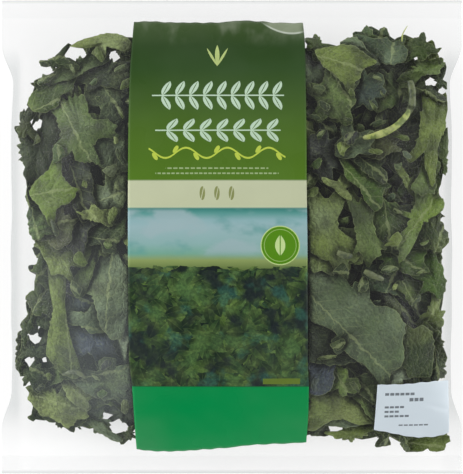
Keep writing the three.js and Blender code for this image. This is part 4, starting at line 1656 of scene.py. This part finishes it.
# The leaves at the front film, the uppermost first: name or a dash, colour, cut, depth in millimetres, turn in
# degrees, and the corners of the outline as x,y in millimetres. Each leaf ends with a semicolon.
FRONT_LEAVES = """
leaf_pale_top_left PALE BROAD 0.3 6 -93,113 -85,115 -77,114 -70,114 -65,110 -60,113 -60,118 -67,123 -75,124 -85,121
-93,118 -102,113;
- DARK FRILL 0.8 12 -113,102 -105,101 -98,103 -97,107 -101,108 -102,113 -110,107 -116,107 -117,104;
- GREY LOBED 1.0 24 -116,91 -111,92 -109,95 -111,97 -115,96 -118,93;
- GREY BROAD 1.2 20 -108,97 -106,95 -98,94 -88,99 -78,105 -71,107 -77,110 -81,113 -84,110 -90,111 -93,109 -98,103
-108,101;
leaf_olive_upper_left BOTTLE BROAD 0.4 24 -121,77 -118,75 -111,74 -103,78 -102,85 -93,88 -95,92 -102,94 -109,93 -115,90
-121,86 -123,81;
leaf_broad_upper_left FERN LOBED 0.6 -62 -104,69 -102,60 -95,50 -91,44 -85,43 -75,45 -80,50 -82,54 -78,58 -70,60 -67,66
-73,70 -80,69 -85,72 -85,80 -89,86 -94,83 -103,81 -105,76;
- NIGHT BROAD 1.8 10 -88,92 -80,91 -68,88 -62,92 -63,103 -72,106 -83,102 -91,97;
- GREY BROAD 1.4 -55 -83,82 -76,75 -67,68 -63,70 -65,80 -70,88 -80,90 -84,88;
leaf_bright_left_edge BRIGHT BROAD 0.3 10 -120,23 -114,18 -111,12 -107,12 -103,17 -95,20 -92,24 -93,29 -99,34 -102,41
-107,41 -114,36 -122,28;
- NIGHT FRILL 1.0 60 -130,65 -127,70 -125,74 -120,74 -119,70 -121,66 -119,62 -123,60 -129,61;
- DARK STRAP 1.0 -80 -124,25 -121,25 -119,17 -122,19;
- NIGHT FRILL 1.2 -82 -128,51 -126,41 -122,29 -113,36 -103,44 -99,53 -103,63 -106,72 -113,72 -121,73 -125,72 -129,65;
- MIST BROAD 2.0 70 -81,53 -75,47 -67,43 -62,44 -64,63 -73,61 -80,58;
- PALE LOBED 0.8 -50 -84,15 -83,9 -75,10 -73,13 -78,17 -83,20;
- SHADE BROAD 1.5 -70 -98,35 -91,27 -94,18 -91,12 -84,18 -81,29 -83,38 -90,43 -100,40;
- GREY BROAD 1.6 20 -81,22 -75,17 -65,16 -62,21 -63,34 -71,33 -81,28;
- STRIPE FRILL 0.6 -75 -121,4 -118,-4 -112,-1 -111,6 -113,12 -118,15 -123,14;
- BROWN BROAD 0.9 15 -112,6 -109,-4 -102,-8 -95,-3 -94,6 -97,12 -103,14 -111,12;
- SHADE BROAD 2.2 85 -97,4 -93,-8 -85,-4 -84,9 -87,17 -96,16;
- DARK BROAD 1.3 -8 -81,-4 -67,-4 -62,2 -62,14 -71,9 -84,8;
- OLIVE BROAD 1.0 -30 -114,-9 -110,-15 -107,-23 -97,-22 -95,-17 -90,-12 -89,-5 -95,-6 -104,-4 -114,-2;
leaf_strap_left OLIVE STRAP 0.2 94 -108,-33 -106,-43 -108,-52 -110,-62 -111,-71 -106,-76 -100,-77 -94,-80 -91,-75
-94,-66 -96,-56 -98,-45 -99,-35 -98,-24 -104,-19 -110,-22;
- SAGE STRAP 0.9 82 -89,-17 -93,-27 -89,-32 -84,-28 -81,-18 -82,-5 -86,-1 -91,-7;
- OLIVE STRAP 0.9 85 -84,-5 -82,-13 -78,-9 -76,-1 -80,4 -86,2;
leaf_grey_beside_band HAZE BROAD 0.7 86 -82,-22 -83,-29 -81,-40 -78,-52 -72,-60 -65,-61 -61,-50 -60,-31 -61,-17 -69,-10
-78,-16;
- BOTTLE FRILL 1.0 40 -118,-21 -117,-26 -111,-30 -108,-24 -110,-17 -113,-13 -117,-15 -121,-20;
- DARK LOBED 1.4 60 -122,-39 -120,-43 -117,-48 -109,-46 -107,-37 -109,-29 -117,-29 -121,-33 -124,-37;
- DARK FRILL 0.8 85 -125,-50 -119,-50 -118,-54 -122,-58 -123,-64 -126,-67 -127,-58;
- DARK FRILL 0.8 5 -127,-66 -121,-65 -118,-67 -112,-66 -111,-71 -117,-72 -121,-71 -126,-74 -129,-72;
- DARK FRILL 0.8 -80 -129,-71 -126,-71 -126,-77 -127,-82 -131,-80;
- DARK FRILL 0.8 -20 -130,-79 -126,-78 -119,-77 -115,-76 -113,-82 -119,-89 -125,-88 -129,-84;
- DARK FRILL 0.9 80 -123,-42 -118,-43 -112,-44 -111,-52 -118,-54 -125,-51 -123,-47;
- DARK FRILL 1.0 -84 -129,-79 -127,-84 -120,-89 -113,-82 -110,-74 -108,-64 -107,-52 -112,-44 -119,-50 -123,-56 -126,-72;
- SAGE BROAD 1.3 20 -111,-86 -105,-88 -99,-85 -96,-80 -101,-76 -109,-75 -112,-81;
- HAZE LOBED 1.6 -10 -94,-50 -89,-54 -80,-58 -78,-52 -84,-43 -95,-45;
- MIST BROAD 1.5 15 -93,-89 -86,-94 -77,-98 -68,-96 -60,-89 -60,-75 -72,-77 -82,-80 -91,-85;
- SLATE BROAD 2.0 -35 -92,-65 -82,-71 -72,-73 -67,-66 -75,-62 -86,-52 -95,-57;
- MILKY BROAD 1.5 70 -71,-70 -63,-71 -60,-61 -61,-49 -72,-45 -80,-57;
- SLATE BROAD 2.4 -20 -98,-37 -95,-44 -89,-45 -80,-43 -81,-35 -91,-34 -99,-30;
- PALE BROAD 0.5 -45 -98,-97 -91,-103 -85,-103 -86,-97 -92,-91 -95,-89 -100,-91;
leaf_pale_foot_left PALE LOBED 0.4 -14 -123,-100 -119,-102 -117,-107 -110,-109 -103,-113 -100,-116 -95,-113 -93,-110
-85,-109 -87,-102 -93,-101 -98,-97 -103,-95 -112,-93 -121,-93 -125,-96;
- DARK FRILL 0.8 -14 -118,-106 -110,-108 -103,-109 -95,-108 -91,-110 -96,-112 -99,-115 -103,-116 -108,-113 -113,-111
-117,-109;
- DARK BROAD 0.9 -20 -123,-108 -119,-107 -117,-109 -120,-112 -123,-110;
- DARK STRAP 1.6 40 -99,-83 -102,-87 -110,-90 -106,-94 -100,-92 -92,-84 -93,-76 -101,-77;
- MOSS LOBED 1.2 12 -83,-108 -78,-101 -72,-101 -60,-100 -61,-90 -73,-93 -82,-97 -87,-105;
- HAZE STRAP 1.0 -38 -82,-112 -78,-112 -74,-116 -70,-119 -64,-122 -67,-125 -72,-123 -77,-120 -83,-116 -87,-114;
- GREY FRILL 1.2 60 -66,-119 -63,-116 -58,-113 -58,-122 -64,-122;
- MIST FRILL 1.8 -28 -92,-110 -88,-114 -80,-115 -74,-112 -71,-109 -73,-105 -82,-105;
- SHADE FRILL 1.6 0 -72,-110 -65,-112 -58,-110 -58,-101 -68,-101 -74,-103;
leaf_pale_upper_right OLIVE BROAD 0.2 -17 51,107 55,102 61,97 65,93 69,91 75,93 78,97 79,101 85,103 89,105 85,107 80,110
76,114 71,116 62,115 57,114 49,112;
- HAZE STRAP 0.6 -20 65,116 71,116 77,112 82,108 87,106 81,113 79,118 76,121 69,120 62,117;
leaf_crown_upper_right TEAL BROAD 0.5 80 78,117 79,114 83,110 89,105 97,103 105,106 108,111 104,117 97,118 95,121 86,120
80,121;
- TEAL BROAD 0.5 85 79,116 86,116 86,121 85,123 86,125 84,127 82,130 81,127 79,124 80,120;
- TEAL BROAD 0.5 70 86,117 96,117 97,121 96,124 94,127 91,128 87,123 86,121;
- BOTTLE LOBED 0.7 20 104,114 107,110 112,108 116,105 119,109 124,111 129,115 123,114 123,117 118,118 118,124 115,125
113,122 104,118;
- MOSS STRAP 0.6 25 118,112 123,112 127,113 130,117 127,115 122,114;
- SAGE FRILL 1.0 10 99,97 100,94 109,94 115,97 119,98 122,98 126,98 129,101 128,106 116,104 105,99;
- DARK FRILL 1.2 -60 122,97 126,99 129,101 129,97 131,92 132,86 129,91 125,91 123,93;
- NIGHT FRILL 1.0 -28 104,98 111,98 116,95 118,91 123,90 127,86 131,86 131,81 123,82 116,86 111,90 105,93;
leaf_long_right_edge OLIVE BROAD 0.3 88 115,78 113,70 111,59 108,50 112,47 115,52 115,42 118,35 119,28 122,30 122,40
124,47 123,52 126,59 129,66 130,76 129,83 122,83 116,85;
- GREY STRAP 1.0 -65 109,86 108,80 106,73 104,68 109,71 113,78 115,85 111,90 106,92;
- SAGE BROAD 1.2 -60 49,83 52,75 58,70 67,71 74,80 73,91 66,94 58,97 51,90;
- TEAL BROAD 1.6 30 71,83 75,77 82,81 88,88 86,95 77,95 65,90;
- BOTTLE BROAD 1.5 85 95,76 100,81 107,86 104,92 98,98 93,97 90,90 90,79;
- DARK FRILL 1.8 0 83,99 89,96 99,94 109,99 114,103 105,102 95,105 85,104;
- MIST BROAD 1.2 20 61,49 65,46 73,47 79,52 80,60 75,63 67,61 62,56;
- BROWN BROAD 2.0 15 82,47 89,46 97,52 96,60 87,58 79,54;
- NIGHT BROAD 1.9 -40 77,39 85,33 92,30 92,38 85,46 73,48;
leaf_green_right FRESH LOBED 0.8 -50 65,40 68,34 75,29 79,21 85,14 89,18 90,29 85,33 78,38 70,45 65,46;
- SAGE LOBED 1.0 60 106,29 109,25 115,25 122,26 122,35 121,42 113,38 108,33;
- FERN FRILL 1.2 85 124,47 122,38 123,29 126,32 131,41 131,63 124,57;
- PALE STRAP 0.3 -35 53,32 59,29 66,23 72,20 70,25 64,32 57,34 52,37;
leaf_folded_right SAGE STRAP 0.2 -66 70,17 73,2 75,-9 81,-15 89,-11 87,-2 83,11 78,18 72,21 69,25;
leaf_pale_beside_band OLIVE BROAD 0.8 -66 45,8 46,-9 54,-14 66,-15 72,-9 70,-2 63,5 62,11 66,17 62,21 57,24 46,22;
leaf_bright_right_edge BRIGHT LOBED 0.2 52 107,17 104,7 100,-4 99,-12 104,-12 109,-5 111,2 114,7 118,11 127,15 129,20
127,24 121,26 115,26;
- OLIVE LOBED 0.9 -55 102,31 107,26 109,30 105,37 100,38;
- BOTTLE BROAD 1.6 -80 87,6 92,-4 100,-4 104,8 104,18 95,21 88,18;
- DARK FRILL 1.2 70 112,-4 117,-9 126,-9 130,-1 129,9 122,11 113,6;
- SAGE FRILL 1.3 -10 44,112 50,112 62,113 62,117 61,115 55,117 52,122 49,122 44,119;
- NIGHT BROAD 2.2 60 96,49 100,43 108,47 110,57 105,64 95,59;
- SHADE BROAD 2.4 0 45,46 48,37 58,38 64,45 62,54 54,62 45,60;
- MIST BROAD 2.2 85 44,89 50,87 54,92 51,106 44,110;
- OLIVE BROAD 0.9 80 46,-21 56,-20 59,-12 57,-3 46,-5;
- OLIVE BROAD 1.0 70 58,-7 63,-14 71,-15 73,-11 71,0 57,-1;
- FRESH BROAD 1.0 -30 88,-9 94,-16 103,-22 112,-23 115,-13 109,-5 98,-1 87,1;
- FRESH LOBED 1.0 -40 115,-30 121,-35 127,-39 130,-29 126,-16 119,-13 112,-23;
leaf_large_lower_right MIST BROAD 0.3 -45 46,-50 57,-53 64,-59 65,-64 70,-71 78,-75 85,-83 91,-89 94,-85 95,-80 101,-79
103,-72 102,-61 105,-54 99,-45 94,-41 85,-41 80,-35 71,-31 62,-25 55,-23 46,-24;
leaf_dark_right_edge DARK BROAD 0.8 -80 103,-64 103,-75 105,-84 112,-85 120,-84 121,-77 122,-66 120,-57 114,-52 108,-55
104,-58;
- DARK FRILL 1.0 -80 120,-69 124,-71 129,-71 130,-77 129,-84 126,-88 120,-88 118,-80;
- MOSS FRILL 0.9 74 119,-57 121,-65 122,-75 126,-74 128,-68 127,-59 121,-53 114,-52;
- OLIVE FRILL 0.9 60 113,-48 116,-52 121,-54 126,-58 128,-50 125,-40 123,-34 118,-42;
- MILKY BROAD 0.5 80 98,-88 102,-87 103,-83 101,-79 96,-84;
- SAGE FRILL 1.2 -80 120,-2 127,-2 128,-8 128,-14 124,-12 120,-16 115,-14 116,-7;
- DARK BROAD 2.0 -60 106,-24 117,-27 123,-34 121,-43 112,-47 104,-38 102,-29;
- DARK BROAD 2.4 70 102,56 112,54 116,64 116,76 110,82 103,76 100,65;
- TEAL BROAD 1.4 60 84,-27 87,-33 94,-33 103,-36 109,-32 105,-22 94,-17 83,-19;
- SHADE STRAP 1.2 -50 94,-42 103,-53 109,-54 110,-49 98,-35 91,-34;
- PALE STRAP 0.8 -40 106,-45 111,-45 108,-40 102,-39;
- NIGHT BROAD 2.2 -25 46,-74 55,-76 68,-76 71,-72 66,-64 57,-56 46,-52;
- SLATE BROAD 2.0 80 46,-93 52,-95 58,-93 62,-84 56,-77 46,-75;
- BRIGHT FRILL 1.2 -60 61,-86 63,-92 68,-96 71,-89 68,-81 62,-80;
- DARK BROAD 1.4 -50 72,-90 79,-96 86,-101 86,-89 78,-83 70,-80;
- SAGE STRAP 1.0 -65 77,-100 81,-107 85,-109 84,-104 79,-94 75,-93;
leaf_pale_foot_right PALE BROAD 0.4 -14 44,-107 45,-116 50,-117 55,-113 60,-110 68,-109 73,-112 76,-114 82,-112 84,-108
77,-101 68,-96 60,-93 53,-93 46,-99;
- HAZE BROAD 0.9 -8 59,-111 63,-109 69,-109 73,-111 74,-114 69,-115 62,-114;
- OLIVE FRILL 1.2 -6 53,-113 58,-117 64,-117 71,-117 77,-114 85,-113 87,-118 81,-121 77,-122 70,-123 62,-122 56,-119
52,-116;
- DARK FRILL 1.4 -6 44,-114 56,-114 54,-118 50,-120 44,-119;
- DARK STRAP 0.8 -110 92,-118 96,-118 96,-123 93,-127 89,-129 91,-125 93,-122;
- GREY STRAP 0.8 -58 101,-120 107,-121 107,-126 110,-131 106,-131 103,-127;
- GREY FRILL 1.0 -22 79,-114 87,-113 96,-116 103,-119 110,-121 111,-126 104,-125 98,-122 92,-122 85,-122 79,-120;
- MOSS FRILL 1.0 -6 107,-121 114,-120 122,-119 131,-118 134,-120 132,-122 133,-125 130,-128 127,-133 123,-131 119,-129.5
116,-131 111,-130 112,-125 107,-124;
"""

# Leaves at the back: name, x, y, length, width, turn, colour, cut and depth
BACK_LEAVES = [
    ("leaf_back_upper", -52, 78, 44, 26, 30, Tint.SAGE, Cut.LOBED, 0.4),
    ("leaf_back_upper_edge", 80, 62, 48, 27, -40, Tint.MOSS, Cut.BROAD, 0.3),
    ("leaf_back_side", -98, -14, 44, 22, 75, Tint.OLIVE, Cut.LOBED, 0.4),
    ("leaf_back_middle", 26, -22, 52, 30, 15, Tint.GREY, Cut.BROAD, 0.3),
    ("leaf_back_foot", -34, -88, 46, 24, -20, Tint.FRESH, Cut.LOBED, 0.4),
    ("leaf_back_foot_edge", 82, -78, 42, 23, 55, Tint.SAGE, Cut.BROAD, 0.4),
]

STEMS = [
    Stem("stem_arc", [(77.5, 58.5), (87, 60.5), (96.5, 65), (103.5, 71.5), (106, 76)], 4.4, 3.8, 0.45),
    Stem("stem_arc_upper", [(104, 71.5), (107.5, 78), (108.2, 86), (107, 94)], 4.2, 4.6, 0.2, True, "stem_arc"),
    Stem("stem_fibre_upper", [(103, 118), (103.8, 123), (107, 128.5)], 1.0, 0.6, 0.3, node="leaf_crown_upper_right"),
    Stem("stem_chip_upper", [(62, -9), (67, -11), (71, -11)], 4.0, 3.4, 0.35, True),
    Stem("stem_chip_lower", [(78, -20), (84, -23), (90, -25)], 4.0, 3.2, 0.35, True),
    Stem("stem_left", [(-86, -84), (-93, -80), (-101, -82)], 2.8, 2.0, 0.5, True),
]

# Places where the table shows through, and deep dark gaps: x, y, half across and half along, in mm
SEE_THROUGH = [
    (-93.6, 111.0, 6.6, 3.3), (-71.4, 110.4, 3.6, 3.0), (-117.4, 68.0, 3.4, 3.4), (-111.6, 100.2, 3.6, 2.4),
    (-118.2, -61.2, 3.2, 3.6), (-122.0, -74.8, 3.2, 2.2), (-112.8, -73.8, 2.2, 1.7), (-75.5, -108.3, 3.2, 1.5),
    (-68.2, -114.4, 5.0, 4.0), (120.8, 93.8, 3.0, 2.4), (128.0, 88.3, 2.6, 1.7), (62.0, -115.2, 4.8, 1.0),
]
BARE_CORNERS = [
    (-121.0, 113.0, 17.0, 19.0), (-124.0, -117.0, 20.0, 14.0), (129.0, 119.0, 8.0, 12.0),
]
DEEP_GAPS = [
    (-64.2, 89.4, 4.8, 12.0), (-76.8, 93.0, 9.6, 4.8), (-75.6, 35.4, 5.4, 3.6), (-89.4, 5.4, 4.2, 9.6),
    (-91.8, -74.4, 4.2, 7.2), (-105.6, -88.8, 7.2, 3.6), (51.0, 54.6, 9.0, 12.0), (96.6, 82.2, 6.6, 5.4),
    (103.2, 42.0, 12.0, 6.6), (66.6, 19.2, 4.8, 3.6), (68.4, 11.4, 3.6, 7.2), (96.6, 29.4, 7.2, 4.2),
    (111.6, 3.6, 7.2, 4.8), (95.4, -37.8, 12.0, 5.4), (48.6, -0.6, 3.6, 3.6), (71.4, -12.6, 9.6, 3.6),
    (56.4, -62.4, 9.6, 6.6), (74.4, -88.8, 7.2, 8.4), (-88.2, -42.6, 4.8, 8.4),
]

# Darker tints for the deepest fillers: painted shade on leaves that lie far under the film.
DARK_TINTS = [Tint.DARK, Tint.SHADE, Tint.TEAL, Tint.GREY, Tint.BROWN, Tint.DARK]
CRUMB_TINTS = [Tint.PALE, Tint.SHADE, Tint.OLIVE, Tint.DARK, Tint.MIST, Tint.MOSS, Tint.GREY, Tint.DARK, Tint.FRESH]
MIXED_TINTS = [
    Tint.DARK, Tint.GREY, Tint.SAGE, Tint.MOSS, Tint.TEAL, Tint.OLIVE, Tint.FRESH, Tint.SHADE, Tint.BROWN, Tint.SAGE,
    Tint.OLIVE, Tint.DARK, Tint.BRIGHT, Tint.PALE,
]


def outlined_leaves(table: str, seed: int) -> list[LeafPiece]:
    """Turn a table of outlines into leaf pieces.

    Args:
        table: The leaves, each with a semicolon at its end.
        seed: Seed of the first leaf.

    Returns:
        The leaf pieces, in the table's order.
    """
    leaves = []
    for k, row in enumerate(table.split(";")[:-1]):
        name, tint, cut, sink, turn, *corners = row.split()
        outline = [tuple(map(float, corner.split(","))) for corner in corners]
        title = "" if name == "-" else name
        leaves.append(
            LeafPiece.from_outline(title, Tint[tint], Cut[cut], float(sink), float(turn), outline, seed + 17 * k)
        )
    return leaves


def named_leaves(rows: list[tuple], seed: int) -> list[LeafPiece]:
    """Turn rows of millimetres into leaf pieces."""
    return [
        LeafPiece(name, x * MM, y * MM, length * MM, width * MM, turn, tint, cut, sink * MM, seed + 17 * k)
        for k, (name, x, y, length, width, turn, tint, cut, sink) in enumerate(rows)
    ]


def fill_bag(form: BagForm, leaf_material: bpy.types.Material) -> None:
    """Build every leaf and stem in the bag.

    Args:
        form: The bag's form.
        leaf_material: Material of the leaves.
    """
    openings, corners = (
        [Opening(*(part * MM for part in one)) for one in rows] for rows in (SEE_THROUGH, BARE_CORNERS)
    )
    kale = KaleFill(form, openings, corners)
    front, back = PressedSide(form, True), PressedSide(form, False)
    heaps = [LeafBatch(), LeafBatch(), LeafBatch()]
    for stem in STEMS:
        stem.build(front)
    tops = [LeafBatch(), LeafBatch()]
    drawn = outlined_leaves(FRONT_LEAVES, 5000)
    clear = (Tint.PALE, Tint.OLIVE, Tint.BRIGHT, Tint.HAZE, Tint.SLATE)
    kale.crumbs(front, heaps, 260, 69, [leaf for leaf in drawn if leaf.name or leaf.tint in clear])
    for leaves, side in ((drawn, front), (named_leaves(BACK_LEAVES, 9000), back)):
        for leaf in leaves:
            batch = LeafBatch() if leaf.name else tops[int(leaf.x > 0)]
            kale.leaf(side, leaf, batch, True)
            if leaf.name:
                piece = batch.build(leaf.name + "_piece")
                dress(piece, leaf_material, [leaf.name])
    kale.scatter(front, heaps, 420, 70, (7 * MM, 19 * MM), MIXED_TINTS, 4, 26, True)
    front.sink_places([tuple(part * MM for part in one) for one in DEEP_GAPS], 3 * MM)
    kale.scatter(front, heaps, 200, 71, (16 * MM, 36 * MM), MIXED_TINTS, 5, 38, True)
    # The deepest front layer takes the darker tints, as painted shade.
    kale.scatter(front, heaps, 90, 72, (24 * MM, 42 * MM), DARK_TINTS, 5, 30, True)
    kale.scatter(back, heaps, 150, 73, (24 * MM, 46 * MM), MIXED_TINTS, 6, 40, False)
    # So does the deepest back layer.
    kale.scatter(back, heaps, 60, 74, (28 * MM, 44 * MM), DARK_TINTS, 5, 28, False)
    kale.core(front, back, heaps[1])
    for batch, place in zip(tops, ("left", "right")):
        dress(batch.build(f"kale_top_{place}"), leaf_material, [f"kale_heap_{place}"])
    for batch, place in zip(heaps, ("left", "middle", "right")):
        piece = batch.build(f"kale_leaves_{place}")
        dress(piece, leaf_material, [f"kale_heap_{place}"])


@dataclass
class Studio:
    """A plain pale table, soft light and a camera straight above the bag."""

    camera_height: float = 0.940
    view_height: float = 0.2896
    view_level: float = 0.015

    def build(self) -> None:
        """Build the floor, the lights and the camera."""
        self._floor()
        self._lights()
        self._camera()

    def _floor(self) -> None:
        """Lay the table top."""
        deselect_all()
        bpy.ops.mesh.primitive_plane_add(size=6.0, location=(0, 0, -0.0003))
        floor = bpy.context.object
        floor.name = "table_top"
        tree, material, out = Tree.of_material("pale_table")
        paint = tree.add("ShaderNodeBsdfPrincipled")
        tone = tree.ramp(tree.noise(tree.place(), 3.0), [(0.0, linear(158, 158, 158)), (1.0, linear(162, 162, 162))])
        tree.feed(tone, paint.inputs["Base Color"])
        tree.feed(tone, paint.inputs["Emission Color"])
        paint.inputs["Emission Strength"].default_value = 2.15
        paint.inputs["Roughness"].default_value = 0.9
        paint.inputs["Specular IOR Level"].default_value = 0.1
        tree.feed(paint.outputs[0], out.inputs["Surface"])
        floor.data.materials.append(material)

    def _lights(self) -> None:
        """Hang two soft boxes and set a white surround, bright low down and dim overhead."""
        world = bpy.data.worlds.new("white_room")
        bpy.context.scene.world = world
        world.use_nodes = True
        tree = Tree(world.node_tree)
        _, _, up = tree.split(tree.add("ShaderNodeTexCoord").outputs["Generated"])
        tone = tree.ramp(up.span(0.1, 0.85), [(0.0, (1.3, 1.3, 1.3, 1.0)), (1.0, (0.10, 0.10, 0.10, 1.0))])
        tree.feed(tone, world.node_tree.nodes["Background"].inputs["Color"])
        boxes = (
            ("soft_box_left", (-1.75, 0.50, 1.1), 1.8, 36.0),
            ("soft_box_right", (1.8, 0.25, 1.0), 1.8, 20.0),
        )
        for name, spot, size, power in boxes:
            data = bpy.data.lights.new(name, "AREA")
            data.size = size
            data.energy = power
            lamp = bpy.data.objects.new(name, data)
            lamp.location = spot
            aim = -np.array(spot)
            lamp.rotation_euler = (
                math.atan2(math.hypot(aim[0], aim[1]), -aim[2]), 0.0, math.atan2(aim[1], aim[0]) - math.pi / 2,
            )
            bpy.context.scene.collection.objects.link(lamp)

    def _camera(self) -> None:
        """Set the camera straight above the bag, with the top seal at the picture's top."""
        data = bpy.data.cameras.new("camera_above")
        data.sensor_fit = "VERTICAL"
        data.sensor_height = 36.0
        data.lens = 36.0 * (self.camera_height - self.view_level) / self.view_height
        data.clip_end = 20.0
        camera = bpy.data.objects.new("camera_above", data)
        camera.location = (0.0, 0.0, self.camera_height)
        bpy.context.scene.collection.objects.link(camera)
        bpy.context.scene.camera = camera
        bpy.context.scene.view_settings.view_transform = "Standard"


def main() -> None:
    """Build the bag, its print and its leaves, and set the studio."""
    logging.basicConfig(level=logging.INFO, format="%(name)s: %(message)s")
    form = BagForm()
    creases, veins = film_creases(), leaf_veins()
    Studio().build()
    FilmBag(form).build(FilmFinish().material(creases))
    band = Print(form, "band_of_print", "printed_band", "band_print", -60 * MM, 45 * MM, BAND_EDGES, BAND_ENDS, 80, 170)
    band.build(BandFinish().material(creases))
    panel = Print(
        form, "white_panel", "printed_panel", "panel_print", 86 * MM, 131 * MM, PANEL_EDGES, PANEL_ENDS, 60, 44,
    )
    panel.build(PanelFinish().material(creases))
    fill_bag(form, LeafFinish().material(veins))


if __name__ == "__main__":
    main()
